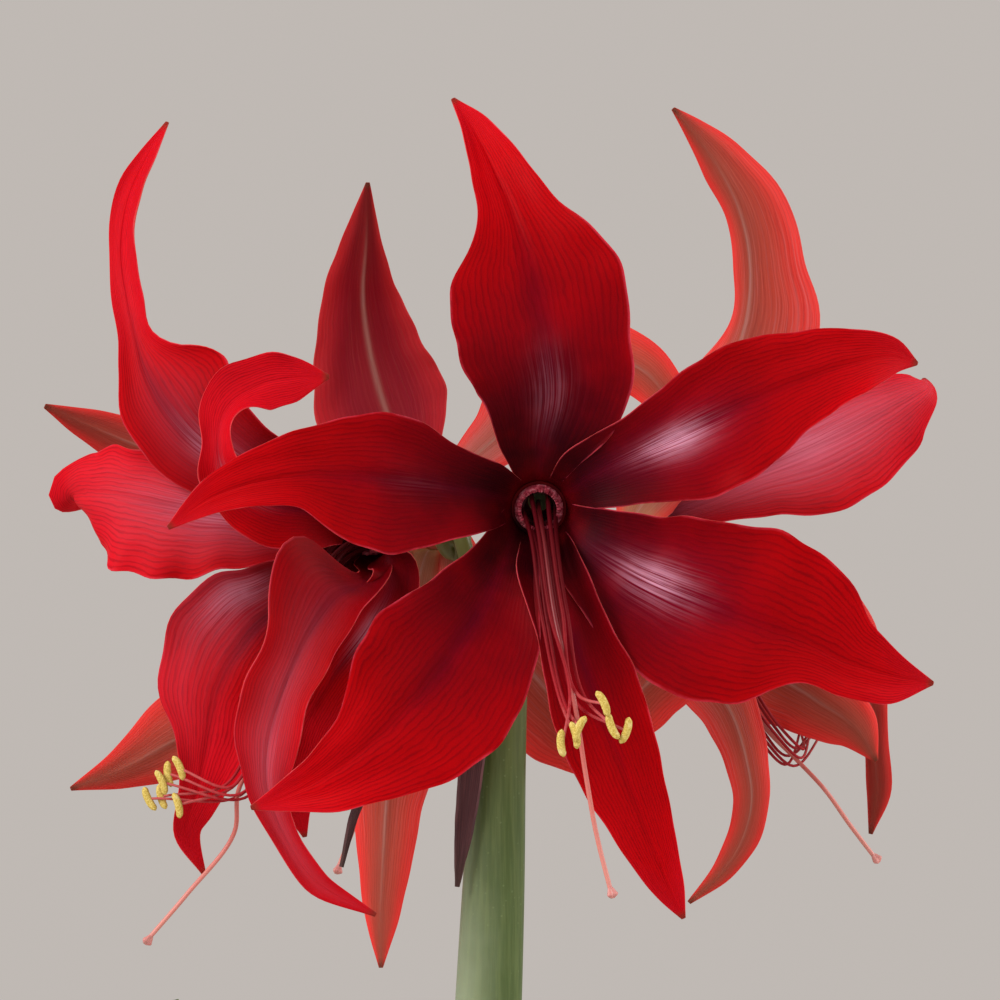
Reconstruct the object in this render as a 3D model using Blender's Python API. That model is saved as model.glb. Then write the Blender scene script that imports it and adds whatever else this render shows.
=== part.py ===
# Flowering bulb in a clay pot: four six-petalled blooms on one hollow green stalk, four strap leaves,
# a brown bulb set in soil. Sizes are millimetres until a mesh is made, then metres. +Z is up, the
# origin is the middle of the pot's underside, and the front bloom faces -Y.
import math

import bmesh
import bpy
import numpy as np

MM = 0.001

# Driving sizes.
POT_HEIGHT = 140.0
POT_TOP_RADIUS = 72.0
POT_BASE_RADIUS = 51.0
POT_WALL = 6.0
POT_FLOOR = 8.0
RIM_HEIGHT = 26.0
RIM_OVERHANG = 5.0
POT_SEGMENTS = 28
BULB_SEGMENTS = 20
DRAIN_RADIUS = 4.5
DRAIN_RING_RADIUS = 27.0
SOIL_LEVEL = 127.0
FIT_GAP = 0.35
BULB_CENTRE_X = -6.0
BULB_RADIUS = 40.0
BULB_FOOT_LEVEL = 74.0
NECK_LEVEL = 178.0
NECK_RADIUS = 17.0
NECK_RIM = 1.6
SOCKET_FLOOR_LEVEL = 158.0
LEAF_SHELF_LEVEL = 171.0
LEAF_RING_RADIUS = 12.9
LEAF_THICKNESS = 1.7
NODE_X = 6.75
NODE_LEVEL = 520.0
TEPAL_THICKNESS = 0.8
THROAT_RADIUS = 6.5
TUBE_LENGTH = 14.0
TUBE_BACK_RADIUS = 3.4
TUBE_WALL = 0.9
COLLAR_RADIUS = 4.6
COLLAR_WALL = 1.1
OVARY_LENGTH = 12.0
OVARY_RADIUS = 4.4
PEDICEL_RADIUS = 2.1
FILAMENT_RADIUS = 0.5
BUNDLE_SPREAD = 0.75
STYLE_RADIUS = 0.6
ANTHER_LENGTH = 5.6
ANTHER_RADIUS = 1.05
TEPAL_ROWS = 10
TEPAL_COLUMNS = 4

# The head's frame: millimetres from the stalk's top, x right, y away from the viewer, z up.
# A tepal is its clock angle round the throat and stations along its middle vein:
# x, y, z, turn (0 shows the inner face, 180 the back), left half-width, right half-width, cup angle.
# A bloom also has the pedicel's route from the stalk's top to the ovary's foot, the style's route
# beyond the filaments to the stigma, the filaments' common route, and each anther's two ends.
BLOOMS = {
    "front": {
        "throat": (8.5, -54, 33),
        "facing": (0, -0.98, -0.12),
        "tepals": {
            "top": (0, [(9, -59, 47, 0, 9.5, 10.5, 35), (11, -64, 60, 0, 17, 18.5, 18),
                        (9.5, -67, 74, 0, 20.5, 20.5, 12), (6.5, -66, 88, 0, 19.5, 20.5, 10),
                        (2.5, -62, 102, 0, 9, 11, 18), (-2.5, -56, 114, -4, 5.5, 7, 35),
                        (-7.5, -51, 124, -8, 2.6, 3.8, 50), (-12, -47, 131, -10, 0.5, 0.5, 30)]),
            "upper_right": (60, [(20, -60, 40, 0, 8, 7.5, 35), (32, -64, 46, 0, 9, 12.5, 28),
                                 (45, -67, 52, 0, 12.5, 17, 15), (58, -68, 58, 0, 14.5, 15, 10),
                                 (70, -66, 63, 0, 12, 10.5, 12), (82, -62, 67, 0, 8.5, 7.5, 25),
                                 (92, -57, 69, 0, 4.5, 4.5, 30), (98.5, -53, 67.5, 0, 0.5, 0.5, 20)]),
            "lower_right": (120, [(19, -60, 25, 0, 9, 9, 35), (32, -65, 17, 0, 15.5, 17, 22),
                                  (46, -69, 11, 0, 20, 22, 10), (60, -70, 5.5, 0, 22.5, 19.5, 5),
                                  (72, -68, 1, 0, 18.5, 9.5, 8), (82, -64, -3.5, 0, 11, 8, 20),
                                  (92, -60, -6.5, 0, 5.5, 6.8, 25), (102, -56, -8.5, 0, 0.5, 0.5, 20)]),
            "bottom": (170, [(11, -61, 19, 0, 7.5, 7.5, 50), (16, -66, 4, 0, 9, 8, 45),
                             (21.5, -69, -11, 0, 11, 11, 30), (27, -70, -25, 0, 9.5, 11.3, 20),
                             (32, -69, -38, 0, 7.3, 8.8, 18), (36.5, -67, -49.5, 0, 5, 6, 22),
                             (40, -65, -58, 0, 2.8, 3.3, 25), (42.5, -64, -63.5, 0, 0.5, 0.5, 20)]),
            "lower_left": (235, [(0, -60, 20, 0, 8.5, 8, 40), (-6, -66, 8, 0, 16, 14, 25),
                                 (-14, -71, -4, 0, 21, 19.5, 10), (-23, -74, -14.5, 0, 20, 17, 5),
                                 (-32.5, -75, -23, 0, 14, 9.8, 8), (-42.5, -74, -30, 0, 8.5, 6, 20),
                                 (-51.5, -72, -34.5, 0, 3.4, 3.4, 25), (-59, -71, -37, 0, 0.5, 0.5, 20)]),
            "upper_left": (290, [(-3, -60, 36, 0, 8, 7.5, 35), (-13, -65, 38, 0, 13, 10, 25),
                                 (-25, -69, 39.5, 0, 17, 15.5, 12), (-37, -72, 40.5, 0, 14.5, 14, 10),
                                 (-48, -74, 40.5, 0, 7.5, 10.5, 15), (-58, -74, 39, 0, 5.5, 7.5, 20),
                                 (-68, -73, 35.5, 0, 3.8, 4.5, 25), (-78.3, -72, 28.5, 0, 0.5, 0.5, 20)]),
        },
        "pedicel": [(1, -3.6, 0.6), (1.2, -4, 4), (2.5, -7, 14), (6, -15, 29), (8.5, -25.5, 35.6)],
        "filaments": [(9.5, -62, 27), (12, -76, 8), (16.5, -84, -12)],
        "anthers": [((21.5, -90, -9), (24, -90, -14.5)), ((24, -89, -14), (26.5, -89, -20)),
                    ((29, -88, -15), (27, -88, -21)), ((18.5, -91, -15.5), (16.8, -91, -19.5)),
                    ((15.6, -90, -16), (17, -90, -22)), ((13.4, -91, -18), (13.8, -91, -23.5))],
        "style": [(19, -82, -28), (21.5, -81, -42), (25, -82, -56)],
    },
    "left": {
        "throat": (-33, -14, 27),
        "facing": (-0.74, -0.57, -0.36),
        "tepals": {
            "up": (-5, [(-48, -17, 36, 0, 9, 8, 40), (-66, -20, 43, 0, 10, 13, 30),
                        (-79, -21, 53, 0, 11.5, 17, 25), (-85, -20.5, 61, 0, 10, 19, 25),
                        (-88.5, -19.5, 68, 5, 6, 13, 30), (-90, -18.5, 74, 12, 4.3, 5.5, 40),
                        (-92.5, -16, 84, 22, 3.6, 5.5, 42), (-94.5, -12, 96, 35, 3, 7, 45),
                        (-93, -7, 110, 40, 3.5, 7, 50), (-89, -3, 120, 40, 2.5, 4.5, 50),
                        (-84, 1, 129.5, 40, 0.5, 0.5, 30)]),
            "curl": (52, [(-43, -26, 32, 0, 8, 7, 40), (-58, -33, 35, 0, 10, 8, 35),
                           (-67, -36, 41, 10, 6, 6, 50), (-69, -35, 49, 20, 3.4, 4, 60),
                           (-67, -32, 57, 20, 6.5, 4, 60), (-60, -30, 62.5, 10, 7.5, 6.3, 25),
                           (-51, -30, 64.5, 0, 5.6, 5.8, 15), (-42.3, -30, 65, 0, 0.5, 0.5, 15)]),
            "side": (290, [(-43, -16, 28, 0, 6, 6, 35), (-56, -19, 29, 0, 9, 8, 25),
                          (-70, -20, 31.5, 0, 15, 9.5, 18), (-84, -18, 34, 0, 18.5, 11.5, 10),
                          (-95, -14, 36, 0, 16.5, 12.5, -8), (-103, -8, 36.5, 0, 11, 10.5, -30),
                          (-107.5, 1, 36, 0, 7.5, 7.5, -42), (-107, 9, 35, 0, 4, 4, -42),
                          (-104, 14, 34, 0, 0.5, 0.5, -20)]),
            "low": (238, [(-44, -11, 18, 0, 6, 7, 40), (-53, -18, 10, 0, 7, 11, 30),
                          (-62, -28, 1, 0, 12, 18, 15), (-69, -29, -11, 0, 14, 16, 10),
                          (-72, -27, -24, 0, 12, 8, 25), (-74.5, -25, -35, 0, 7, 4.5, 35),
                          (-78, -22, -46, 20, 4, 3, 40), (-73.5, -18, -57, 30, 0.5, 0.5, 30)]),
            "fold": (180, [(-33.5, -25, 15, -25, 5, 3, 45), (-41, -38, 10.5, -5, 7, 18, 35),
                           (-48, -42, 0, 0, 8, 9.5, 40), (-53, -44, -12, 0, 6.5, 9.5, 30),
                           (-56, -42, -22, 0, 7.5, 8.5, 25), (-57, -38, -33, 0, 5, 5.5, 25),
                           (-53, -34, -46, 0, 3.2, 3.2, 30), (-45, -31, -58, 0, 3, 3, 30),
                           (-31, -29, -66, 0, 0.5, 0.5, 20)]),
            "under": (125, [(-27, -20, 17, 20, 6, 6, 40), (-32, -23, 5, 10, 8, 8, 25),
                            (-42, -24, -9, 0, 8, 8, 15), (-49, -24, -22, 0, 7, 7, 15),
                            (-51, -24, -36, 0, 5, 5, 20), (-48.5, -23, -47.5, 0, 0.5, 0.5, 20)]),
        },
        "pedicel": [(-3.6, -1, 0.6), (-4, -1.2, 4), (-7, -3, 14), (-11, -4, 28), (-14.5, 0.8, 36)],
        "filaments": [(-40, -18.5, 23), (-47, -27, 11.5), (-53, -34, -8), (-58, -34, -24), (-64, -34, -35)],
        "anthers": [((-80, -33, -27), (-77.5, -33, -33)), ((-81.5, -32, -28), (-80.5, -32, -35)),
                    ((-84, -33, -31), (-82, -33, -36)), ((-87, -32, -35), (-84.5, -32, -40)),
                    ((-79.8, -34, -36), (-78.3, -34, -42)), ((-83.5, -31, -34), (-82, -31, -40))],
        "style": [(-65.5, -27.5, -46), (-77, -30, -61), (-86.5, -30, -72)],
    },
    "back": {
        "throat": (-19, 26, 29),
        "facing": (-0.3, 0.93, 0.2),
        "tepals": {
            "top": (0, [(-24, 30, 45, 180, 9, 9, 30), (-30, 33, 58, 180, 16.5, 18, 18),
                        (-34, 34, 72, 180, 14, 15, 15), (-36, 32, 87, 180, 9.5, 10.5, 20),
                        (-35, 28, 101, 180, 4, 6.5, 30), (-34.5, 23, 116, 180, 0.5, 0.5, 20)]),
            "left_high": (60, [(-34, 31, 33, 180, 8, 8, 30), (-55, 36, 37, 180, 9, 9, 18),
                                (-75, 36, 43, 180, 10, 10, 15), (-94, 33, 49, 180, 7, 7, 20),
                                (-107, 29, 54.5, 180, 4, 4, 30), (-117, 24, 59, 180, 0.6, 0.6, 20)]),
            "left_low": (120, [(-28, 29, 15, 180, 8, 8, 30), (-40, 32, 2, 180, 15, 15, 18),
                               (-54, 34, -9, 180, 17, 17, 10), (-70, 33, -19, 180, 15, 15, 10),
                               (-85, 30, -27, 180, 10.5, 10.5, 20), (-98, 26, -34, 180, 5, 5, 30),
                               (-110, 20, -38.5, 180, 0.5, 0.5, 20)]),
            "bottom": (180, [(-22, 29, 13, 180, 7, 7, 35), (-25, 35, -5, 180, 12, 12, 22),
                             (-28, 38, -25, 180, 11.5, 12.5, 15), (-30, 38, -42, 180, 9, 9.7, 15),
                             (-31, 35, -58, 180, 6.4, 7.5, 18), (-31.5, 32, -73, 180, 3.8, 4.6, 30),
                             (-31.3, 29, -85, 180, 0.5, 0.5, 20)]),
            "right_low": (240, [(-11, 29, 16, 180, 7, 7, 35), (-3, 34, 3, 180, 12, 12, 20),
                                (7, 36, -9, 180, 16, 16, 12), (17, 35, -20, 180, 15, 14, 12),
                                (27, 32, -29, 180, 9, 9, 18), (36, 28, -36, 180, 0.5, 0.5, 20)]),
            "right_high": (300, [(-12, 29, 39, 180, 5, 5, 35), (0, 36, 53, 180, 8, 8, 20),
                                (11, 42, 66, 180, 12, 12, 10), (24, 45, 72.5, 180, 10, 10, 15),
                                (36, 44, 69, 180, 7.5, 7.5, 25), (44, 42, 60, 180, 5, 5, 25),
                                (50, 39, 50, 180, 0.5, 0.5, 20)]),
        },
        "pedicel": [(-1, 3.6, 0.6), (-1.8, 4, 4), (-5, 5, 11), (-10, 3.6, 19), (-11.4, 2.6, 24.2)],
        "filaments": [(-20.5, 35, 28), (-23, 44, 13), (-24, 49, -8)],
        "anthers": [((-30, 52, -22), (-29, 52, -28)), ((-27, 54, -20), (-26.5, 54, -26)),
                    ((-24, 50, -24), (-24, 50, -30)), ((-21.5, 54, -21), (-22, 54, -27)),
                    ((-19, 51, -19), (-19.5, 51, -25)), ((-26, 49, -14), (-27, 49, -20))],
        "style": [(-29, 45, -25), (-37, 43, -46), (-43, 43, -61)],
    },
    "right": {
        "throat": (30, 8, 22),
        "facing": (0.87, 0.44, -0.2),
        "tepals": {
            "up": (0, [(36, 14, 35, 180, 7, 7, 35), (47, 20, 50, 180, 13, 11, 28),
                       (56, 22, 65, 180, 18, 8, 22), (61.5, 20, 80, 180, 19.5, 3.6, 22),
                       (62.5, 16, 94, 180, 14.5, 4, 28), (60, 12, 107, 180, 12.5, 3.6, 32),
                       (54, 8, 119, 180, 8, 4, 35), (48, 5, 127, 180, 4, 2.2, 35),
                       (42.6, 2, 133, 180, 0.5, 0.5, 20)]),
            "far_high": (50, [(40, 18, 31, 0, 6, 6, 35), (52, 22, 35.5, 0, 9, 7, 25),
                              (66, 24, 42, 0, 12, 12, 15), (80, 24, 48, 0, 13, 17, 8),
                              (92, 21, 54, 0, 13, 15, 8), (102, 17, 60, 0, 8, 10, -15),
                              (108, 20, 63.5, 0, 4.5, 4.5, -30), (108, 28, 66, 0, 0.5, 0.5, -20)]),
            "droop": (105, [(44, 16, 20, 180, 6, 6, 35), (58, 18, 18, 180, 10, 10, 22),
                            (72, 16, 12, 180, 12, 12, 12), (84, 12, 2, 180, 12, 10, 15),
                            (91.5, 8, -12, 160, 6, 5, 30), (93.2, 6, -26, 150, 3.4, 3.4, 40),
                            (94, 6, -38, 150, 3.4, 3.4, 40), (92.5, 7, -49, 150, 0.5, 0.5, 30)]),
            "far_low": (150, [(40, 13, 8.5, 180, 6, 6, 35), (53, 14, 1, 180, 10, 10, 22),
                              (67, 9, -8, 180, 12, 12, 12), (79, 1, -15.5, 180, 9.5, 9.5, 15),
                              (88, -3, -22, 180, 6, 6, 30), (93, -4, -30, 180, 0.5, 0.5, 20)]),
            "near_low": (215, [(36, -2, 12, 180, 6, 6, 40), (43, -10, 2, 180, 9, 9, 28),
                               (50, -14, -8, 180, 8.5, 8.5, 20), (56.5, -15, -18, 180, 7, 7, 15),
                               (60, -14, -29, 180, 5.5, 5.5, 15), (61.5, -11, -39, 180, 4.5, 4.5, 18),
                               (59.5, -8, -49, 180, 4, 4, 25), (55, -5, -57, 180, 2.8, 2.8, 30),
                               (46.5, -1, -65.5, 180, 0.5, 0.5, 20)]),
            "near_high": (275, [(36, -6, 19, 180, 6, 6, 40), (43, -16, 13, 180, 8, 8, 30),
                                (46, -22, 5, 180, 9, 9, 20), (42, -26, -3, 180, 9.5, 9.5, 12),
                                (35, -27, -10, 180, 10, 10, 10), (28, -25, -17, 180, 8, 9, 15),
                                (20, -22, -25, 180, 0.5, 0.5, 20)]),
        },
        "pedicel": [(3.6, 1, 0.6), (3.9, 0.8, 4), (4.4, -0.2, 11), (5, -2, 19), (8.6, -2.8, 26.6)],
        "filaments": [(38, 10.5, 19.5), (47, 6, 9), (57, 1, -8), (66, 0, -22.5), ((73, 4.5, -29.5))],
        "anthers": [((78, 13, -17), (81, 13, -20.5)), ((79, 11, -20), (82, 11, -23.5)),
                    ((75, 14, -17), (78, 14, -20.5)), ((81, 14, -20), (83, 14, -24.5)),
                    ((76, 11, -21), (79.5, 11, -24)), ((73, 14, -20), (76.5, 14, -22.5))],
        "style": [(80.5, -0.5, -37.5), (87, 2.5, -46.5), (93.5, 3, -55)],
    },
}

# The stalk's centre line and radius, the bracts' and the leaves' middle lines, all in the head's frame.
SCAPE = [(0, 0, 0, 6.3), (-1.1, 0, -30, 6.8), (-2.3, 0, -60, 7.7), (-3.6, 0, -90, 8.3), (-6.2, 0, -150, 8.8),
         (-9.4, 0, -240, 9.3), (-12.75, 0, -361, 9.5)]
SPATHE_VALVES = {
    "spathe_valve_front": [(-5.6, -4.6, 0, 0, 2, 2, 60), (-7, -6.2, -14, 0, 3.4, 3.4, 60),
                           (-8, -7.4, -32, 0, 2.9, 2.9, 60), (-9.8, -8, -48, 0, 2, 2, 50),
                           (-11.4, -8, -61, 0, 0.5, 0.5, 20)],
    "spathe_valve_back": [(-7.4, 3.8, 0, 0, 2, 2, 50), (-17, 8, -9, 20, 3, 3, 60),
                          (-29, 8, -24, 40, 2.4, 2.4, 60), (-37, 5, -42, 50, 1.6, 1.6, 50),
                          (-40.5, 3, -57, 50, 0.5, 0.5, 20)],
}


# A smooth curve through values set at given places: cubic pieces that share their slopes.
def smooth(values, places, where):
    values = np.asarray(values, float)
    slopes = np.gradient(values, places, axis=0)
    piece = np.clip(np.searchsorted(places, where, side="right") - 1, 0, len(places) - 2)
    span = (places[piece + 1] - places[piece])[:, None]
    t = (where - places[piece])[:, None] / span
    start = (1 + 2 * t) * (1 - t) ** 2 * values[piece] + t * (1 - t) ** 2 * span * slopes[piece]
    end = t * t * (3 - 2 * t) * values[piece + 1] + t * t * (t - 1) * span * slopes[piece + 1]
    return start + end


def unit(vectors):
    vectors = np.asarray(vectors, float)
    return vectors / np.linalg.norm(vectors, axis=-1, keepdims=True)


# Distances along a list of points, from 0 at the first to 1 at the last.
def chord_places(points):
    steps = np.linalg.norm(np.diff(points, axis=0), axis=1)
    places = np.concatenate([[0.0], np.cumsum(steps)])
    return places / places[-1]


# The three directions of a bloom: the way it faces, its upward side and its right side.
def bloom_axes(bloom):
    facing = unit(bloom["facing"])
    up = unit(np.array([0.0, 0.0, 1.0]) - facing * facing[2])
    return facing, up, np.cross(up, facing)


# A blade's middle surface: rows across the vein, each an arc with its own half-widths and cup angle.
def blade_surface(points, sides, left, right, cup, rows, columns):
    places = chord_places(points)
    where = np.linspace(0, 1, rows + 1)
    middle = smooth(points, places, where)
    ahead = smooth(points, places, np.clip(where + 0.001, 0, 1))
    behind = smooth(points, places, np.clip(where - 0.001, 0, 1))
    along = unit(ahead - behind)
    side = smooth(sides, places, where)
    side = unit(side - along * np.sum(side * along, axis=1, keepdims=True))
    facing = np.cross(side, along)
    widths = smooth(np.column_stack([left, right, np.radians(cup)]), places, where)
    across = np.linspace(-1, 1, columns + 1)
    half = np.where(across[None] < 0, widths[:, :1], widths[:, 1:2]).clip(min=0.45)
    bend = np.where(abs(widths[:, 2:]) < 0.02, 0.02, widths[:, 2:])
    sideways = half * np.sin(abs(bend) * across[None]) / np.sin(abs(bend))
    lift = half * (1 - np.cos(bend * across[None])) / np.sin(bend)
    surface = middle[:, None] + side[:, None] * sideways[..., None] + facing[:, None] * lift[..., None]
    return surface


# The stations' side vectors: across the vein in the picture plane, then turned about the vein.
def station_sides(points, turns):
    along = unit(np.gradient(points, chord_places(points), axis=0))
    flat = unit(np.column_stack([along[:, 2], np.zeros(len(along)), -along[:, 0]]))
    facing = np.cross(flat, along)
    turns = np.radians(turns)[:, None]
    return np.cos(turns) * flat + np.sin(turns) * facing


# A tepal starts inside the tube's wall and bends out over the throat before its first station.
def tepal_surface(bloom, clock, stations):
    facing, up, right_way = bloom_axes(bloom)
    angle = math.radians(clock)
    outward = math.cos(angle) * up + math.sin(angle) * right_way
    tangent = math.cos(angle) * right_way - math.sin(angle) * up
    throat = np.array(bloom["throat"], float)
    stations = np.array(stations, float)
    foot = throat - facing * TUBE_LENGTH / 2 + outward * THROAT_RADIUS * 0.8
    lip = throat + outward * THROAT_RADIUS * 1.1
    points = np.vstack([foot, lip, stations[:, :3]])
    sides = np.vstack([tangent, tangent, station_sides(points, np.r_[0, 0, stations[:, 3]])[2:]])
    left = np.r_[3.4, 5, stations[:, 4]]
    right = np.r_[3.4, 5, stations[:, 5]]
    cup = np.r_[30, 35, stations[:, 6]]
    return blade_surface(points, sides, left, right, cup, TEPAL_ROWS, TEPAL_COLUMNS)


# The corner normals of a grid of points, from the differences along its rows and columns.
def grid_normals(surface):
    return unit(np.cross(np.gradient(surface, axis=1), np.gradient(surface, axis=0)))


# A closed sheet: the surface moved half a thickness each way, both faces cut into triangles alike.
def sheet_solid(surface, thickness):
    rows, columns = surface.shape[:2]
    shift = grid_normals(surface) * thickness / 2
    vertices = np.vstack([(surface + shift).reshape(-1, 3), (surface - shift).reshape(-1, 3)])
    under = rows * columns
    faces = []
    for row in range(rows - 1):
        for column in range(columns - 1):
            a = row * columns + column
            b, c, d = a + 1, a + columns + 1, a + columns
            faces += [(a, b, c), (a, c, d), (under + a, under + c, under + b), (under + a, under + d, under + c)]
    first_row = list(range(columns))
    last_row = [(rows - 1) * columns + column for column in range(columns)]
    first_column = [row * columns for row in range(rows)]
    last_column = [row * columns + columns - 1 for row in range(rows)]
    rim = first_row + last_column[1:] + last_row[::-1][1:] + first_column[::-1][1:-1]
    for one, two in zip(rim, rim[1:] + rim[:1]):
        faces += [(two, one, under + one), (two, under + one, under + two)]
    return vertices, faces


# A closed round rod along a smooth route, with a radius at each point and lobes on its outline.
def rod_solid(points, radii, sides, segments, lobes=0, lobe_depth=0.0):
    points = np.asarray(points, float)
    places = chord_places(points)
    where = np.linspace(0, 1, segments + 1)
    middle = smooth(points, places, where)
    radius = smooth(np.asarray(radii, float)[:, None], places, where)[:, 0]
    along = unit(np.gradient(middle, axis=0))
    reference = np.array([0.0, 1.0, 0.0]) if abs(along[:, 1]).max() < 0.9 else np.array([1.0, 0.0, 0.0])
    side = unit(np.cross(along, reference))
    other = np.cross(along, side)
    angles = np.arange(sides) * 2 * math.pi / sides
    outline = 1 + lobe_depth * np.cos(lobes * angles)
    ring = np.cos(angles)[None, :, None] * side[:, None] + np.sin(angles)[None, :, None] * other[:, None]
    vertices = middle[:, None] + ring * (radius[:, None] * outline[None])[..., None]
    faces = []
    for row in range(segments):
        for corner in range(sides):
            a = row * sides + corner
            b = row * sides + (corner + 1) % sides
            faces.append((a, b, b + sides, a + sides))
    faces.append(tuple(range(sides))[::-1])
    faces.append(tuple(segments * sides + corner for corner in range(sides)))
    return vertices.reshape(-1, 3), faces


# A profile of (radius, level) pairs turned about an axis; a radius of 0 closes the shape there.
def turned_solid(profile, segments, centre=(0, 0, 0), axis=(0, 0, 1), start=(1, 0, 0), closed=False):
    axis, start = unit(axis), unit(start)
    other = np.cross(axis, start)
    angles = np.arange(segments) * 2 * math.pi / segments
    vertices, rings = [], []
    for radius, level in profile:
        base = np.array(centre, float) + axis * level
        if radius == 0:
            rings.append([len(vertices)] * segments)
            vertices.append(base)
            continue
        rings.append([len(vertices) + number for number in range(segments)])
        vertices += [base + radius * (math.cos(angle) * start + math.sin(angle) * other) for angle in angles]
    faces = []
    pairs = list(zip(rings, rings[1:]))
    if closed:
        pairs.append((rings[-1], rings[0]))
    for low, high in pairs:
        for corner in range(segments):
            following = (corner + 1) % segments
            face = [low[corner], low[following], high[following], high[corner]]
            faces.append(tuple(dict.fromkeys(face)))
    return np.array(vertices), faces


def make_material(name, colour, roughness):
    material = bpy.data.materials.new(name)
    material.use_nodes = True
    shader = material.node_tree.nodes["Principled BSDF"]
    shader.inputs["Base Color"].default_value = (*colour, 1)
    shader.inputs["Roughness"].default_value = roughness
    material.diffuse_color = (*colour, 1)
    return material


def make_object(name, solid, material, parent=None, collection=None):
    vertices, faces = solid
    mesh = bpy.data.meshes.new(name)
    mesh.from_pydata((np.asarray(vertices) * MM).tolist(), [], faces)
    mesh.validate()
    mesh.materials.append(material)
    mesh.shade_smooth()
    mesh.set_sharp_from_angle(angle=math.radians(50))
    item = bpy.data.objects.new(name, mesh)
    (collection or bpy.context.scene.collection).objects.link(item)
    item.parent = parent
    return item


# Where two tepals cross twice they close off a pocket, whose shell faces inwards: it is filled.
def fill_pockets(mesh):
    shape = bmesh.new()
    shape.from_mesh(mesh)
    waiting = set(shape.faces)
    while waiting:
        shell = {waiting.pop()}
        edge_of_search = list(shell)
        while edge_of_search:
            face = edge_of_search.pop()
            for edge in face.edges:
                for neighbour in edge.link_faces:
                    if neighbour in waiting:
                        waiting.discard(neighbour)
                        shell.add(neighbour)
                        edge_of_search.append(neighbour)
        near = next(iter(shell)).calc_center_median()
        volume = sum((face.calc_center_median() - near).dot(face.normal) * face.calc_area() for face in shell)
        if volume < 0:
            bmesh.ops.delete(shape, geom=list(shell), context="FACES")
    shape.to_mesh(mesh)
    shape.free()


# One body from pieces that run into each other: the first piece, united with all the others.
def fuse(name, solids, material, parent):
    pieces = bpy.data.collections.new(name + "_pieces")
    bpy.context.scene.collection.children.link(pieces)
    for number, solid in enumerate(solids[1:]):
        make_object(f"{name}_piece_{number}", solid, material, parent, pieces)
    whole = make_object(name, solids[0], material, parent)
    union = whole.modifiers.new("union", "BOOLEAN")
    union.operation = "UNION"
    union.operand_type = "COLLECTION"
    union.collection = pieces
    union.solver = "MANIFOLD"  # the exact solver leaves tepals that only touch as separate shells
    bpy.context.view_layer.update()
    depsgraph = bpy.context.evaluated_depsgraph_get()
    mesh = bpy.data.meshes.new_from_object(whole.evaluated_get(depsgraph))
    fill_pockets(mesh)
    whole.modifiers.remove(union)
    whole.data = mesh
    for piece in list(pieces.objects):
        bpy.data.objects.remove(piece)
    bpy.data.collections.remove(pieces)
    return whole


# The short tube behind the throat: a hollow cone that opens towards the tepals.
def perianth_tube(bloom):
    facing, up, side = bloom_axes(bloom)
    outer = [(TUBE_BACK_RADIUS, -TUBE_LENGTH), (THROAT_RADIUS - 0.9, -TUBE_LENGTH * 0.4), (THROAT_RADIUS, 0)]
    inner = [(radius - TUBE_WALL, level) for radius, level in reversed(outer)]
    return turned_solid(outer + inner, 14, bloom["throat"], facing, up + side * 0.17, closed=True)


def make_perianth(name, bloom, material, parent):
    solids = [perianth_tube(bloom)]
    for clock, stations in bloom["tepals"].values():
        solids.append(sheet_solid(tepal_surface(bloom, clock, stations), TEPAL_THICKNESS))
    return fuse("perianth_" + name, solids, material, parent)


# A vector square to one direction, turned the short way so that it is square to each new direction.
def carried(vector, old, new):
    both = old + new
    share = (new @ vector) / (1 + new @ old)
    return vector - both * share[:, None]


# Six filaments rise from a collar in the throat, follow one route and part towards their anthers.
def make_stamens(name, bloom, material, parent):
    facing, up, right_way = bloom_axes(bloom)
    throat = np.array(bloom["throat"], float)
    collar_middle = throat - facing * 2.5
    profile = [(COLLAR_RADIUS, -1.2), (COLLAR_RADIUS, 1.2), (COLLAR_RADIUS - COLLAR_WALL, 1.2),
               (COLLAR_RADIUS - COLLAR_WALL, -1.2)]
    solids = [turned_solid(profile, 12, collar_middle, facing, up, closed=True)]
    route = np.array(bloom["filaments"], float)
    for number, (top, bottom) in enumerate(bloom["anthers"]):
        angle = number * math.pi / 3 + math.pi / 6
        spread = (math.cos(angle) * up + math.sin(angle) * right_way) * (COLLAR_RADIUS - COLLAR_WALL / 2)
        top, bottom = np.array(top, float), np.array(bottom, float)
        bundle = route + carried(spread, facing, unit(np.gradient(route, axis=0))) * BUNDLE_SPREAD
        points = np.vstack([collar_middle + spread, bundle, (top + bottom) / 2])
        solids.append(rod_solid(points, [FILAMENT_RADIUS] * len(points), 4, 6))
        half = unit(top - bottom) * ANTHER_LENGTH / 2
        middle = (top + bottom) / 2
        ends = [middle - half, middle - half * 0.6, middle, middle + half * 0.6, middle + half]
        solids.append(rod_solid(ends, [0.4, 0.9, ANTHER_RADIUS, 0.9, 0.4], 5, 4))
    return fuse("stamens_" + name, solids, material, parent)


# The style stands just off the ovary, runs out amid the filaments and on to a small three-lobed stigma.
def make_pistil(name, bloom, material, parent):
    facing = bloom_axes(bloom)[0]
    throat = np.array(bloom["throat"], float)
    foot = throat - facing * (TUBE_LENGTH - 0.2)
    points = np.vstack([foot, throat, bloom["filaments"], bloom["style"]])
    style = rod_solid(points, [STYLE_RADIUS] * len(points), 5, 10)
    tip = points[-1]
    onward = unit(tip - points[-2])
    stigma_points = [tip - onward, tip, tip + onward * 1.2]
    stigma = rod_solid(stigma_points, [0.8, 1.5, 0.7], 9, 3, lobes=3, lobe_depth=0.2)
    return fuse("pistil_" + name, [style, stigma], material, parent)


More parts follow.
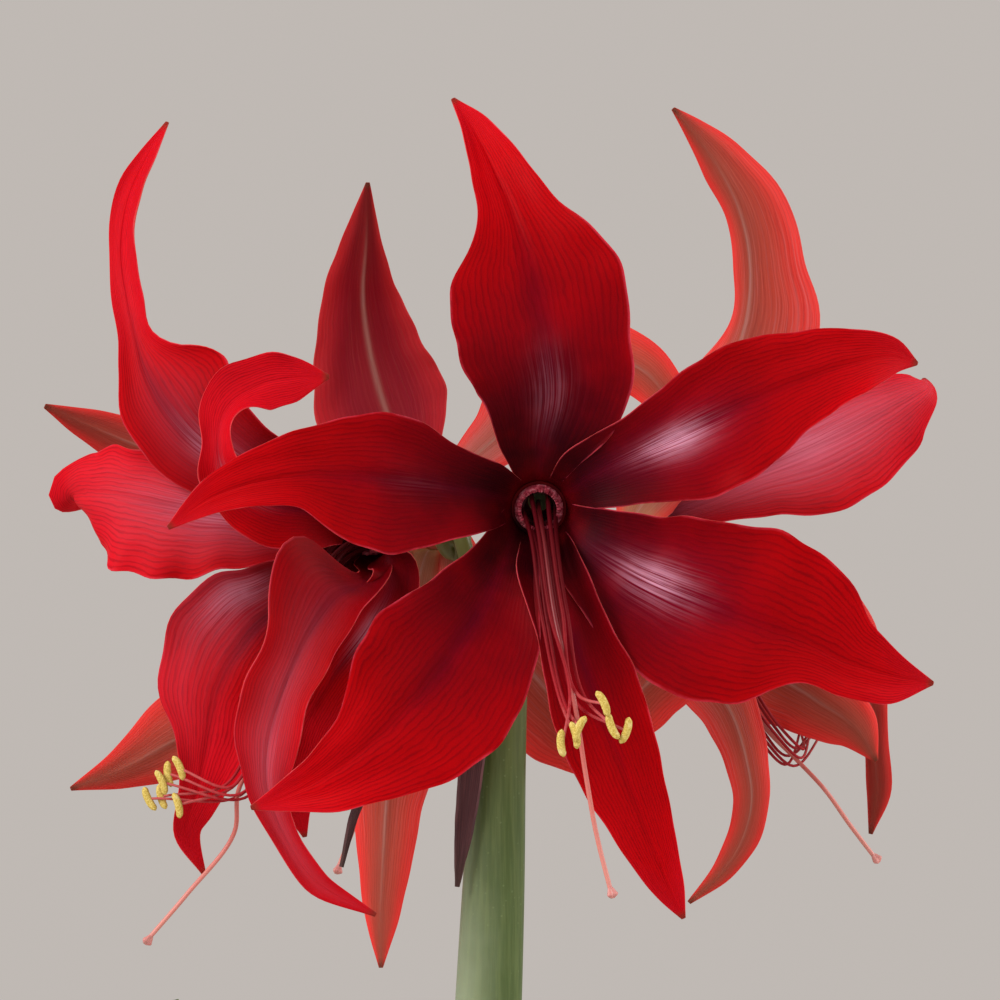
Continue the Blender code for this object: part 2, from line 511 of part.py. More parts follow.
# The green stalk of one bloom: a round rod that swells into the three-lobed ovary behind the tube.
def make_pedicel(name, bloom, material, parent):
    facing = bloom_axes(bloom)[0]
    top = np.array(bloom["throat"], float) - facing * (TUBE_LENGTH + FIT_GAP)
    swelling = [top - facing * OVARY_LENGTH * part for part in (0.8, 0.4, 0)]
    points = np.vstack([bloom["pedicel"], swelling])
    radii = [PEDICEL_RADIUS] * len(bloom["pedicel"]) + [OVARY_RADIUS * 0.8, OVARY_RADIUS, OVARY_RADIUS * 0.7]
    solid = rod_solid(points, radii, 9, 9, lobes=3, lobe_depth=0.06)
    return make_object("pedicel_" + name, solid, material, parent)


def make_blade(name, stations, rows, columns, thickness, material, parent):
    stations = np.array(stations, float)
    sides = station_sides(stations[:, :3], stations[:, 3])
    surface = blade_surface(stations[:, :3], sides, *stations[:, 4:].T, rows, columns)
    return make_object(name, sheet_solid(surface, thickness), material, parent)


# A leaf stands on the bulb's shelf, curved round the stalk, and arches out to its tip.
def leaf_surface(azimuth, route, half_width, tip_turn):
    angle = math.radians(azimuth)
    outward = np.array([math.cos(angle), math.sin(angle), 0.0])
    tangent = np.array([math.sin(angle), -math.cos(angle), 0.0])
    foot = np.array([BULB_CENTRE_X, 0, LEAF_SHELF_LEVEL + FIT_GAP]) + outward * LEAF_RING_RADIUS
    points = np.vstack([foot, foot + [0, 0, 12], route])
    turns = np.radians(np.linspace(0, tip_turn, len(points)))[:, None]
    sides = np.cos(turns) * tangent + np.sin(turns) * outward
    widths = [8, 8.6, half_width, half_width * 0.92, half_width * 0.5, 0.6]
    widths = np.interp(chord_places(points), [0, 0.07, 0.35, 0.7, 0.9, 1], widths)
    cup = np.interp(chord_places(points), [0, 0.07, 0.35, 1], [37, 37, 22, 14])
    return blade_surface(points, sides, widths, widths, cup, 14, 4)


LEAVES = {
    "leaf_left": (180, [(-32, 0, 250), (-47, 1, 320), (-62, 1, 385), (-75.3, 0, 430)], 15, 20),
    "leaf_right": (0, [(24, -2, 245), (56, -6, 310), (96, -12, 345), (138, -18, 336)], 16, 15),
    "leaf_back": (90, [(-2, 34, 250), (8, 58, 320), (22, 88, 366), (38, 124, 372)], 16, -15),
    "leaf_front": (270, [(-12, -34, 235), (-22, -62, 285), (-36, -98, 306), (-50, -132, 286)], 15, 15),
}


# The pot: a tapered wall with a thick rim band, and a flat floor with three drainage holes.
def make_pot(material):
    rim_radius = POT_TOP_RADIUS + RIM_OVERHANG
    under_rim = POT_HEIGHT - RIM_HEIGHT
    inner_base = POT_BASE_RADIUS - POT_WALL
    inner_top = POT_TOP_RADIUS - POT_WALL + 2
    profile = [(0, 0), (POT_BASE_RADIUS - 2, 0), (POT_BASE_RADIUS, 2), (POT_TOP_RADIUS - 3, under_rim),
               (rim_radius - 1, under_rim + 1), (rim_radius, under_rim + 3), (rim_radius, POT_HEIGHT - 2),
               (rim_radius - 2, POT_HEIGHT), (inner_top + 1.5, POT_HEIGHT), (inner_top, POT_HEIGHT - 1.5),
               (inner_base, POT_FLOOR), (0, POT_FLOOR)]
    pot = make_object("pot", turned_solid(profile, POT_SEGMENTS), material)
    for number in range(3):
        angle = math.radians(30 + 120 * number)
        middle = (DRAIN_RING_RADIUS * math.cos(angle), DRAIN_RING_RADIUS * math.sin(angle), 0)
        drill = [(0, -5), (DRAIN_RADIUS, -5), (DRAIN_RADIUS, POT_FLOOR + 5), (0, POT_FLOOR + 5)]
        cutter = make_object(f"drain_cutter_{number}", turned_solid(drill, 12, middle), material)
        cutter.hide_render = True
        cutter.display_type = "WIRE"
        cut = pot.modifiers.new(f"drain_{number}", "BOOLEAN")
        cut.object = cutter
    return pot


# The bulb's profile above its foot, swelling to its widest at soil depth and drawn in to the neck.
def bulb_profile(grow):
    return [(0, BULB_FOOT_LEVEL - grow), (18 + grow, BULB_FOOT_LEVEL + 2 - grow), (32 + grow, 86),
            (38.5 + grow, 100), (BULB_RADIUS + grow, 114), (38 + grow, 130), (32 + grow, 144),
            (24 + grow, 156), (19 + grow, 166), (NECK_RADIUS + grow, 174), (NECK_RADIUS - 0.8 + grow, NECK_LEVEL)]


def make_bulb(material):
    shelf_radius = NECK_RADIUS - NECK_RIM - 0.6
    socket_radius = SCAPE[-1][3] + 2 * FIT_GAP
    profile = bulb_profile(0) + [(shelf_radius, NECK_LEVEL), (shelf_radius, LEAF_SHELF_LEVEL),
                                 (socket_radius, LEAF_SHELF_LEVEL), (socket_radius, SOCKET_FLOOR_LEVEL),
                                 (0, SOCKET_FLOOR_LEVEL)]
    return make_object("bulb", turned_solid(profile, BULB_SEGMENTS, (BULB_CENTRE_X, 0, 0)), material)


# The soil fills the pot to just below the rim and leaves a pocket of the bulb's shape.
def make_soil(material):
    rise = (POT_TOP_RADIUS + 2 - POT_BASE_RADIUS) / (POT_HEIGHT - 1.5 - POT_FLOOR)
    bottom = POT_FLOOR + FIT_GAP
    inner_base = POT_BASE_RADIUS - POT_WALL - FIT_GAP
    edge = inner_base + rise * (SOIL_LEVEL - 2 - bottom)
    profile = [(0, bottom), (inner_base - 1, bottom), (inner_base + rise * 1 - 0.4, bottom + 1),
               (edge - 0.4, SOIL_LEVEL - 2), (edge - 5, SOIL_LEVEL), (52, SOIL_LEVEL + 2), (0, SOIL_LEVEL + 3)]
    soil = make_object("soil", turned_solid(profile, POT_SEGMENTS), material)
    pocket = bulb_profile(FIT_GAP) + [(0, NECK_LEVEL)]
    cutter = make_object("bulb_pocket", turned_solid(pocket, BULB_SEGMENTS, (BULB_CENTRE_X, 0, 0)), material)
    cutter.hide_render = True
    cutter.display_type = "WIRE"
    cut = soil.modifiers.new("pocket", "BOOLEAN")
    cut.object = cutter
    return soil


def main():
    for item in list(bpy.data.objects):
        bpy.data.objects.remove(item)
    head = bpy.data.objects.new("head", None)
    head.location = (NODE_X * MM, 0, NODE_LEVEL * MM)
    bpy.context.scene.collection.objects.link(head)

    red = make_material("tepal_red", (0.40, 0.002, 0.006), 0.45)
    stamen_red = make_material("filament_red", (0.30, 0.02, 0.03), 0.5)
    style_pink = make_material("style_pink", (0.62, 0.16, 0.14), 0.5)
    green = make_material("stalk_green", (0.11, 0.22, 0.05), 0.5)
    leaf_green = make_material("leaf_green", (0.03, 0.10, 0.02), 0.45)
    bract_purple = make_material("bract_purple", (0.11, 0.03, 0.035), 0.6)
    tunic = make_material("bulb_tunic", (0.22, 0.10, 0.04), 0.7)
    earth = make_material("soil_brown", (0.03, 0.018, 0.011), 0.95)
    clay = make_material("fired_clay", (0.45, 0.16, 0.08), 0.85)

    make_pot(clay)
    make_soil(earth)
    make_bulb(tunic)
    scape = np.array(SCAPE, float)[::-1]
    make_object("scape", rod_solid(scape[:, :3], scape[:, 3], 14, 9), green, head)
    for name, (azimuth, route, half_width, tip_turn) in LEAVES.items():
        surface = leaf_surface(azimuth, route, half_width, tip_turn)
        make_object(name, sheet_solid(surface, LEAF_THICKNESS), leaf_green)
    for name, stations in SPATHE_VALVES.items():
        make_blade(name, stations, 8, 2, TEPAL_THICKNESS, bract_purple, head)
    for name, bloom in BLOOMS.items():
        make_perianth(name, bloom, red, head)
        make_stamens(name, bloom, stamen_red, head)
        make_pistil(name, bloom, style_pink, head)
        make_pedicel(name, bloom, green, head)


main()
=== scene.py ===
# Looks for the potted flowering bulb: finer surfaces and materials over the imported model.
# The pieces are in metres in the model's frame; their own tables and sizes are in millimetres.
import math

import bmesh
import bpy
import numpy as np
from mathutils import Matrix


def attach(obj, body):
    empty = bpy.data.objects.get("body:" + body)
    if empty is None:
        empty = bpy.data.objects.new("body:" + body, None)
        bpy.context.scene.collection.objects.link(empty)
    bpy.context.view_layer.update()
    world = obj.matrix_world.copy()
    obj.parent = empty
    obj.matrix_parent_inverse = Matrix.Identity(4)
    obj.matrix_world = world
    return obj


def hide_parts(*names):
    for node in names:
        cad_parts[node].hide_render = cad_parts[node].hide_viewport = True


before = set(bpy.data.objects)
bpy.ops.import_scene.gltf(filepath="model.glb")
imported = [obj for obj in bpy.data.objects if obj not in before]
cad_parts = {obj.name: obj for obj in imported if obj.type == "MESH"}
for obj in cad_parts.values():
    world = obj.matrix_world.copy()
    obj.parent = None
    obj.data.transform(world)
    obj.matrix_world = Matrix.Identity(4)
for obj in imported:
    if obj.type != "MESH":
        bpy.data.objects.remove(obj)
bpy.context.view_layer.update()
mm = 0.001
fullTurn = 2 * math.pi
headOrigin = np.array([0.00675, 0.0, 0.520])  # the stalk's top, where the four flower stalks meet
print("stage: frame loaded")

# The head's frame: millimetres from the stalk's top, x right, y away from the viewer, z up.
# A tepal is its clock angle round the throat and stations along its middle vein:
# x, y, z, turn (0 shows the inner face, 180 the back), left half-width, right half-width, cup angle.
# A bloom also has the pedicel's route from the stalk's top to the ovary's foot, the style's route
# beyond the filaments to the stigma, the filaments' common route, and each anther's two ends.
blooms = {
    "front": {
        "throat": (8.5, -54, 33),
        "facing": (0, -0.98, -0.12),
        "tepals": {
            "top": (0, [(9, -59, 47, 0, 9.5, 10.5, 35), (11, -64, 60, 0, 17, 18.5, 18),
                        (9.5, -67, 74, 0, 20.5, 20.5, 12), (6.5, -66, 88, 0, 19.5, 20.5, 10),
                        (2.5, -62, 102, 0, 9, 11, 18), (-2.5, -56, 114, -4, 5.5, 7, 35),
                        (-7.5, -51, 124, -8, 2.6, 3.8, 50), (-12, -47, 131, -10, 0.5, 0.5, 30)]),
            "upper_right": (60, [(20, -60, 40, 0, 8, 7.5, 35), (32, -64, 46, 0, 9, 12.5, 28),
                                 (45, -67, 52, 0, 12.5, 17, 15), (58, -68, 58, 0, 14.5, 15, 10),
                                 (70, -66, 63, 0, 12, 10.5, 12), (82, -62, 67, 0, 8.5, 7.5, 25),
                                 (92, -57, 69, 0, 4.5, 4.5, 30), (98.5, -53, 67.5, 0, 0.5, 0.5, 20)]),
            "lower_right": (120, [(19, -60, 25, 0, 9, 9, 35), (32, -65, 17, 0, 15.5, 17, 22),
                                  (46, -69, 11, 0, 20, 22, 10), (60, -70, 5.5, 0, 22.5, 19.5, 5),
                                  (72, -68, 1, 0, 18.5, 9.5, 8), (82, -64, -3.5, 0, 11, 8, 20),
                                  (92, -60, -6.5, 0, 5.5, 6.8, 25), (102, -56, -8.5, 0, 0.5, 0.5, 20)]),
            "bottom": (170, [(11, -61, 19, 0, 7.5, 7.5, 50), (16, -66, 4, 0, 9, 8, 45),
                             (21.5, -69, -11, 0, 11, 11, 30), (27, -70, -25, 0, 9.5, 11.3, 20),
                             (32, -69, -38, 0, 7.3, 8.8, 18), (36.5, -67, -49.5, 0, 5, 6, 22),
                             (40, -65, -58, 0, 2.8, 3.3, 25), (42.5, -64, -63.5, 0, 0.5, 0.5, 20)]),
            "lower_left": (235, [(0, -60, 20, 0, 8.5, 8, 40), (-6, -66, 8, 0, 16, 14, 25),
                                 (-14, -71, -4, 0, 21, 19.5, 10), (-23, -74, -14.5, 0, 20, 17, 5),
                                 (-32.5, -75, -23, 0, 14, 9.8, 8), (-42.5, -74, -30, 0, 8.5, 6, 20),
                                 (-51.5, -72, -34.5, 0, 3.4, 3.4, 25), (-59, -71, -37, 0, 0.5, 0.5, 20)]),
            "upper_left": (290, [(-3, -60, 36, 0, 8, 7.5, 35), (-13, -65, 38, 0, 13, 10, 25),
                                 (-25, -69, 39.5, 0, 17, 15.5, 12), (-37, -72, 40.5, 0, 14.5, 14, 10),
                                 (-48, -74, 40.5, 0, 7.5, 10.5, 15), (-58, -74, 39, 0, 5.5, 7.5, 20),
                                 (-68, -73, 35.5, 0, 3.8, 4.5, 25), (-78.3, -72, 28.5, 0, 0.5, 0.5, 20)]),
        },
        "pedicel": [(1, -3.6, 0.6), (1.2, -4, 4), (2.5, -7, 14), (6, -15, 29), (8.5, -25.5, 35.6)],
        "filaments": [(9.5, -62, 27), (12, -76, 8), (16.5, -84, -12)],
        "anthers": [((21.5, -90, -9), (24, -90, -14.5)), ((24, -89, -14), (26.5, -89, -20)),
                    ((29, -88, -15), (27, -88, -21)), ((18.5, -91, -15.5), (16.8, -91, -19.5)),
                    ((15.6, -90, -16), (17, -90, -22)), ((13.4, -91, -18), (13.8, -91, -23.5))],
        "style": [(19, -82, -28), (21.5, -81, -42), (25, -82, -56)],
    },
    "left": {
        "throat": (-33, -14, 27),
        "facing": (-0.74, -0.57, -0.36),
        "tepals": {
            "up": (-5, [(-48, -17, 36, 0, 9, 8, 40), (-66, -20, 43, 0, 10, 13, 30),
                        (-79, -21, 53, 0, 11.5, 17, 25), (-85, -20.5, 61, 0, 10, 19, 25),
                        (-88.5, -19.5, 68, 5, 6, 13, 30), (-90, -18.5, 74, 12, 4.3, 5.5, 40),
                        (-92.5, -16, 84, 22, 3.6, 5.5, 42), (-94.5, -12, 96, 35, 3, 7, 45),
                        (-93, -7, 110, 40, 3.5, 7, 50), (-89, -3, 120, 40, 2.5, 4.5, 50),
                        (-84, 1, 129.5, 40, 0.5, 0.5, 30)]),
            "curl": (52, [(-43, -26, 32, 0, 8, 7, 40), (-58, -33, 35, 0, 10, 8, 35),
                           (-67, -36, 41, 10, 6, 6, 50), (-69, -35, 49, 20, 3.4, 4, 60),
                           (-67, -32, 57, 20, 6.5, 4, 60), (-60, -30, 62.5, 10, 7.5, 6.3, 25),
                           (-51, -30, 64.5, 0, 5.6, 5.8, 15), (-42.3, -30, 65, 0, 0.5, 0.5, 15)]),
            "side": (290, [(-43, -16, 28, 0, 6, 6, 35), (-56, -19, 29, 0, 9, 8, 25),
                          (-70, -20, 31.5, 0, 15, 9.5, 18), (-84, -18, 34, 0, 18.5, 11.5, 10),
                          (-95, -14, 36, 0, 16.5, 12.5, -8), (-103, -8, 36.5, 0, 11, 10.5, -30),
                          (-107.5, 1, 36, 0, 7.5, 7.5, -42), (-107, 9, 35, 0, 4, 4, -42),
                          (-104, 14, 34, 0, 0.5, 0.5, -20)]),
            "low": (238, [(-44, -11, 18, 0, 6, 7, 40), (-53, -18, 10, 0, 7, 11, 30),
                          (-62, -28, 1, 0, 12, 18, 15), (-69, -29, -11, 0, 14, 16, 10),
                          (-72, -27, -24, 0, 12, 8, 25), (-74.5, -25, -35, 0, 7, 4.5, 35),
                          (-78, -22, -46, 20, 4, 3, 40), (-73.5, -18, -57, 30, 0.5, 0.5, 30)]),
            "fold": (180, [(-33.5, -25, 15, -25, 5, 3, 45), (-41, -38, 10.5, -5, 7, 18, 35),
                           (-48, -42, 0, 0, 8, 9.5, 40), (-53, -44, -12, 0, 6.5, 9.5, 30),
                           (-56, -42, -22, 0, 7.5, 8.5, 25), (-57, -38, -33, 0, 5, 5.5, 25),
                           (-53, -34, -46, 0, 3.2, 3.2, 30), (-45, -31, -58, 0, 3, 3, 30),
                           (-31, -29, -66, 0, 0.5, 0.5, 20)]),
            "under": (125, [(-27, -20, 17, 20, 6, 6, 40), (-32, -23, 5, 10, 8, 8, 25),
                            (-42, -24, -9, 0, 8, 8, 15), (-49, -24, -22, 0, 7, 7, 15),
                            (-51, -24, -36, 0, 5, 5, 20), (-48.5, -23, -47.5, 0, 0.5, 0.5, 20)]),
        },
        "pedicel": [(-3.6, -1, 0.6), (-4, -1.2, 4), (-7, -3, 14), (-11, -4, 28), (-14.5, 0.8, 36)],
        "filaments": [(-40, -18.5, 23), (-47, -27, 11.5), (-53, -34, -8), (-58, -34, -24), (-64, -34, -35)],
        "anthers": [((-80, -33, -27), (-77.5, -33, -33)), ((-81.5, -32, -28), (-80.5, -32, -35)),
                    ((-84, -33, -31), (-82, -33, -36)), ((-87, -32, -35), (-84.5, -32, -40)),
                    ((-79.8, -34, -36), (-78.3, -34, -42)), ((-83.5, -31, -34), (-82, -31, -40))],
        "style": [(-65.5, -27.5, -46), (-77, -30, -61), (-86.5, -30, -72)],
    },
    "back": {
        "throat": (-19, 26, 29),
        "facing": (-0.3, 0.93, 0.2),
        "tepals": {
            "top": (0, [(-24, 30, 45, 180, 9, 9, 30), (-30, 33, 58, 180, 16.5, 18, 18),
                        (-34, 34, 72, 180, 14, 15, 15), (-36, 32, 87, 180, 9.5, 10.5, 20),
                        (-35, 28, 101, 180, 4, 6.5, 30), (-34.5, 23, 116, 180, 0.5, 0.5, 20)]),
            "left_high": (60, [(-34, 31, 33, 180, 8, 8, 30), (-55, 36, 37, 180, 9, 9, 18),
                                (-75, 36, 43, 180, 10, 10, 15), (-94, 33, 49, 180, 7, 7, 20),
                                (-107, 29, 54.5, 180, 4, 4, 30), (-117, 24, 59, 180, 0.6, 0.6, 20)]),
            "left_low": (120, [(-28, 29, 15, 180, 8, 8, 30), (-40, 32, 2, 180, 15, 15, 18),
                               (-54, 34, -9, 180, 17, 17, 10), (-70, 33, -19, 180, 15, 15, 10),
                               (-85, 30, -27, 180, 10.5, 10.5, 20), (-98, 26, -34, 180, 5, 5, 30),
                               (-110, 20, -38.5, 180, 0.5, 0.5, 20)]),
            "bottom": (180, [(-22, 29, 13, 180, 7, 7, 35), (-25, 35, -5, 180, 12, 12, 22),
                             (-28, 38, -25, 180, 11.5, 12.5, 15), (-30, 38, -42, 180, 9, 9.7, 15),
                             (-31, 35, -58, 180, 6.4, 7.5, 18), (-31.5, 32, -73, 180, 3.8, 4.6, 30),
                             (-31.3, 29, -85, 180, 0.5, 0.5, 20)]),
            "right_low": (240, [(-11, 29, 16, 180, 7, 7, 35), (-3, 34, 3, 180, 12, 12, 20),
                                (7, 36, -9, 180, 16, 16, 12), (17, 35, -20, 180, 15, 14, 12),
                                (27, 32, -29, 180, 9, 9, 18), (36, 28, -36, 180, 0.5, 0.5, 20)]),
            "right_high": (300, [(-12, 29, 39, 180, 5, 5, 35), (0, 36, 53, 180, 8, 8, 20),
                                (11, 42, 66, 180, 12, 12, 10), (24, 45, 72.5, 180, 10, 10, 15),
                                (36, 44, 69, 180, 7.5, 7.5, 25), (44, 42, 60, 180, 5, 5, 25),
                                (50, 39, 50, 180, 0.5, 0.5, 20)]),
        },
        "pedicel": [(-1, 3.6, 0.6), (-1.8, 4, 4), (-5, 5, 11), (-10, 3.6, 19), (-11.4, 2.6, 24.2)],
        "filaments": [(-20.5, 35, 28), (-23, 44, 13), (-24, 49, -8)],
        "anthers": [((-30, 52, -22), (-29, 52, -28)), ((-27, 54, -20), (-26.5, 54, -26)),
                    ((-24, 50, -24), (-24, 50, -30)), ((-21.5, 54, -21), (-22, 54, -27)),
                    ((-19, 51, -19), (-19.5, 51, -25)), ((-26, 49, -14), (-27, 49, -20))],
        "style": [(-29, 45, -25), (-37, 43, -46), (-43, 43, -61)],
    },
    "right": {
        "throat": (30, 8, 22),
        "facing": (0.87, 0.44, -0.2),
        "tepals": {
            "up": (0, [(36, 14, 35, 180, 7, 7, 35), (47, 20, 50, 180, 13, 11, 28),
                       (56, 22, 65, 180, 18, 8, 22), (61.5, 20, 80, 180, 19.5, 3.6, 22),
                       (62.5, 16, 94, 180, 14.5, 4, 28), (60, 12, 107, 180, 12.5, 3.6, 32),
                       (54, 8, 119, 180, 8, 4, 35), (48, 5, 127, 180, 4, 2.2, 35),
                       (42.6, 2, 133, 180, 0.5, 0.5, 20)]),
            "far_high": (50, [(40, 18, 31, 0, 6, 6, 35), (52, 22, 35.5, 0, 9, 7, 25),
                              (66, 24, 42, 0, 12, 12, 15), (80, 24, 48, 0, 13, 17, 8),
                              (92, 21, 54, 0, 13, 15, 8), (102, 17, 60, 0, 8, 10, -15),
                              (108, 20, 63.5, 0, 4.5, 4.5, -30), (108, 28, 66, 0, 0.5, 0.5, -20)]),
            "droop": (105, [(44, 16, 20, 180, 6, 6, 35), (58, 18, 18, 180, 10, 10, 22),
                            (72, 16, 12, 180, 12, 12, 12), (84, 12, 2, 180, 12, 10, 15),
                            (91.5, 8, -12, 160, 6, 5, 30), (93.2, 6, -26, 150, 3.4, 3.4, 40),
                            (94, 6, -38, 150, 3.4, 3.4, 40), (92.5, 7, -49, 150, 0.5, 0.5, 30)]),
            "far_low": (150, [(40, 13, 8.5, 180, 6, 6, 35), (53, 14, 1, 180, 10, 10, 22),
                              (67, 9, -8, 180, 12, 12, 12), (79, 1, -15.5, 180, 9.5, 9.5, 15),
                              (88, -3, -22, 180, 6, 6, 30), (93, -4, -30, 180, 0.5, 0.5, 20)]),
            "near_low": (215, [(36, -2, 12, 180, 6, 6, 40), (43, -10, 2, 180, 9, 9, 28),
                               (50, -14, -8, 180, 8.5, 8.5, 20), (56.5, -15, -18, 180, 7, 7, 15),
                               (60, -14, -29, 180, 5.5, 5.5, 15), (61.5, -11, -39, 180, 4.5, 4.5, 18),
                               (59.5, -8, -49, 180, 4, 4, 25), (55, -5, -57, 180, 2.8, 2.8, 30),
                               (46.5, -1, -65.5, 180, 0.5, 0.5, 20)]),
            "near_high": (275, [(36, -6, 19, 180, 6, 6, 40), (43, -16, 13, 180, 8, 8, 30),
                                (46, -22, 5, 180, 9, 9, 20), (42, -26, -3, 180, 9.5, 9.5, 12),
                                (35, -27, -10, 180, 10, 10, 10), (28, -25, -17, 180, 8, 9, 15),
                                (20, -22, -25, 180, 0.5, 0.5, 20)]),
        },
        "pedicel": [(3.6, 1, 0.6), (3.9, 0.8, 4), (4.4, -0.2, 11), (5, -2, 19), (8.6, -2.8, 26.6)],
        "filaments": [(38, 10.5, 19.5), (47, 6, 9), (57, 1, -8), (66, 0, -22.5), (73, 4.5, -29.5)],
        "anthers": [((78, 13, -17), (81, 13, -20.5)), ((79, 11, -20), (82, 11, -23.5)),
                    ((75, 14, -17), (78, 14, -20.5)), ((81, 14, -20), (83, 14, -24.5)),
                    ((76, 11, -21), (79.5, 11, -24)), ((73, 14, -20), (76.5, 14, -22.5))],
        "style": [(80.5, -0.5, -37.5), (87, 2.5, -46.5), (93.5, 3, -55)],
    },
}


# How single tepals differ: the strength of the painted lilac sheen and its place along and across the blade,
# the tone of the back from wine (0) to salmon (1), how strongly the edge is crimped, and a pale pink
# painted sheen wash round the sheen.
plainTepal = {"sheen": 0.10, "spotAlong": 0.36, "spotAcross": 0.0, "tone": 0.4, "crimp": 1.0, "wash": 0.0}
tepalTraits = {
    "front": {
        "top": {"sheen": 0.16, "spotAlong": 0.28},
        "upper_right": {"sheen": 1.0, "spotAlong": 0.37, "spotAcross": 0.02},
        "lower_right": {"sheen": 0.85, "spotAlong": 0.33, "spotAcross": -0.05},
        "upper_left": {"sheen": 0.03},
        "lower_left": {"sheen": 0.0},
        "bottom": {"sheen": 0.0},
    },
    "left": {
        "up": {"sheen": 0.6, "spotAlong": 0.30, "crimp": 1.4, "wash": 0.16},
        "curl": {"sheen": 0.45, "spotAlong": 0.48, "crimp": 3.0},
        "side": {"sheen": 0.8, "spotAlong": 0.42, "spotAcross": 0.1, "crimp": 2.8, "wash": 0.5},
        "low": {"sheen": 0.6, "spotAlong": 0.36, "spotAcross": 0.6, "crimp": 1.8, "wash": 0.22},
        "fold": {"sheen": 0.15, "spotAlong": 0.62, "crimp": 2.4, "wash": 0.38},
        "under": {"sheen": 0.4, "crimp": 1.3},
    },
    "back": {
        "top": {"tone": 0.0},
        "left_high": {"tone": 0.55},
        "left_low": {"tone": 0.85},
        "bottom": {"tone": 0.95},
        "right_low": {"tone": 0.8},
        "right_high": {"tone": 1.0},
    },
    "right": {
        "up": {"tone": 0.9},
        "far_high": {"sheen": 0.5, "spotAlong": 0.60, "spotAcross": -0.15, "tone": 0.7, "wash": 0.85},
        "droop": {"tone": 0.5},
        "far_low": {"tone": 1.0},
        "near_low": {"tone": 0.95, "crimp": 1.4},
        "near_high": {"tone": 0.8},
    },
}
throatReach = {"front": 1.0, "left": 0.62, "back": 0.9, "right": 0.8}  # how far the throat's colours run


# Shader maths as expressions: a socket that adds its own nodes to one material's tree.
class Field:
    def __init__(self, maker, socket):
        self.maker, self.socket = maker, socket

    def __add__(self, other):
        return self.maker.maths("ADD", self, other)

    def __sub__(self, other):
        return self.maker.maths("SUBTRACT", self, other)

    def __mul__(self, other):
        return self.maker.maths("MULTIPLY", self, other)

    def __truediv__(self, other):
        return self.maker.maths("DIVIDE", self, other)

    def __rsub__(self, other):
        return self.maker.maths("SUBTRACT", other, self)

    __radd__ = __add__
    __rmul__ = __mul__


class Finish:
    # A new material with one Principled shader, whose fixed values are set straight on its sockets.
    def __init__(self, name, fixed):
        self.material = bpy.data.materials.new(name)
        self.material.use_nodes = True
        self.tree = self.material.node_tree
        self.shader = self.tree.nodes["Principled BSDF"]
        for socket, value in fixed.items():
            self.shader.inputs[socket].default_value = value

    # Any node: its settings first, then its sockets by name or number, as values or links.
    def node(self, kind, settings=None, sockets=None, output=0):
        made = self.tree.nodes.new(kind)
        for name, value in (settings or {}).items():
            if name == "stops":
                self.setStops(made.color_ramp, value)
            else:
                setattr(made, name, value)
        for key, value in (sockets or {}).items():
            if isinstance(value, Field):
                self.tree.links.new(value.socket, made.inputs[key])
            else:
                made.inputs[key].default_value = value
        return Field(self, made.outputs[output])

    def setStops(self, ramp, stops):
        for number, (place, colour) in enumerate(stops):
            stop = ramp.elements[number] if number < 2 else ramp.elements.new(place)
            stop.position, stop.color = place, (*colour, 1)

    def maths(self, operation, one, two=0.0):
        return self.node("ShaderNodeMath", {"operation": operation}, {0: one, 1: two})

    def clamped(self, value):
        return self.node("ShaderNodeClamp", {}, {0: value})

    # 0 below the low edge, 1 above the high edge, and a smooth step between them.
    def step(self, value, low, high):
        return self.node("ShaderNodeMapRange", {"interpolation_type": "SMOOTHSTEP"},
                         {"Value": value, "From Min": low, "From Max": high})

    # A bell: exp(-((value - centre) / width)^2).
    def bell(self, value, centre, width):
        offset = (value - centre) * (1 / width)
        return self.maths("EXPONENT", offset * offset * -1)

    def attribute(self, name):
        return self.node("ShaderNodeAttribute", {"attribute_name": name}, {}, 2)

    # The object's own coordinates, whole or one of them: 0 for x, 1 for y, 2 for z.
    def place(self):
        return self.node("ShaderNodeTexCoord", {}, {}, 3)

    def coordinate(self, number):
        return self.node("ShaderNodeSeparateXYZ", {}, {0: self.place()}, number)

    def noise(self, vector, scale, detail=4.0, roughness=0.55):
        return self.node("ShaderNodeTexNoise", {}, {"Vector": vector, "Scale": scale, "Detail": detail,
                                                    "Roughness": roughness})

    def mix(self, share, one, two):
        return self.node("ShaderNodeMix", {"data_type": "RGBA"}, {0: share, 6: one, 7: two}, 2)

    def ramp(self, value, stops):
        return self.node("ShaderNodeValToRGB", {"stops": stops}, {0: value})

    def vector(self, x, y, z):
        return self.node("ShaderNodeCombineXYZ", {}, {0: x, 1: y, 2: z})

    def set(self, socket, value):
        self.tree.links.new(value.socket, self.shader.inputs[socket])

    def bump(self, height, distance, strength=1.0):
        self.set("Normal", self.node("ShaderNodeBump", {}, {"Height": height, "Distance": distance,
                                                            "Strength": strength}))


def colour(red, green, blue):
    return (red, green, blue, 1.0)


# Each point of a grid may carry these values, which the finishes read; what a grid leaves out is 0.
carriedValues = ("along", "across", "outer", "shade", "tone", "reach", "spotAlong", "spotAcross", "wash")
weldReach = 2e-7               # metres between points that count as one
sharpAngle = math.radians(48)  # faces that meet more sharply keep a hard edge


# A smooth curve through values set at given places: cubic pieces that share their slopes.
def smooth(values, places, where):
    values = np.asarray(values, float)
    slopes = np.gradient(values, places, axis=0)
    piece = np.clip(np.searchsorted(places, where, side="right") - 1, 0, len(places) - 2)
    span = (places[piece + 1] - places[piece])[:, None]
    t = (where - places[piece])[:, None] / span
    start = (1 + 2 * t) * (1 - t) ** 2 * values[piece] + t * (1 - t) ** 2 * span * slopes[piece]
    end = t * t * (3 - 2 * t) * values[piece + 1] + t * t * (t - 1) * span * slopes[piece + 1]
    return start + end


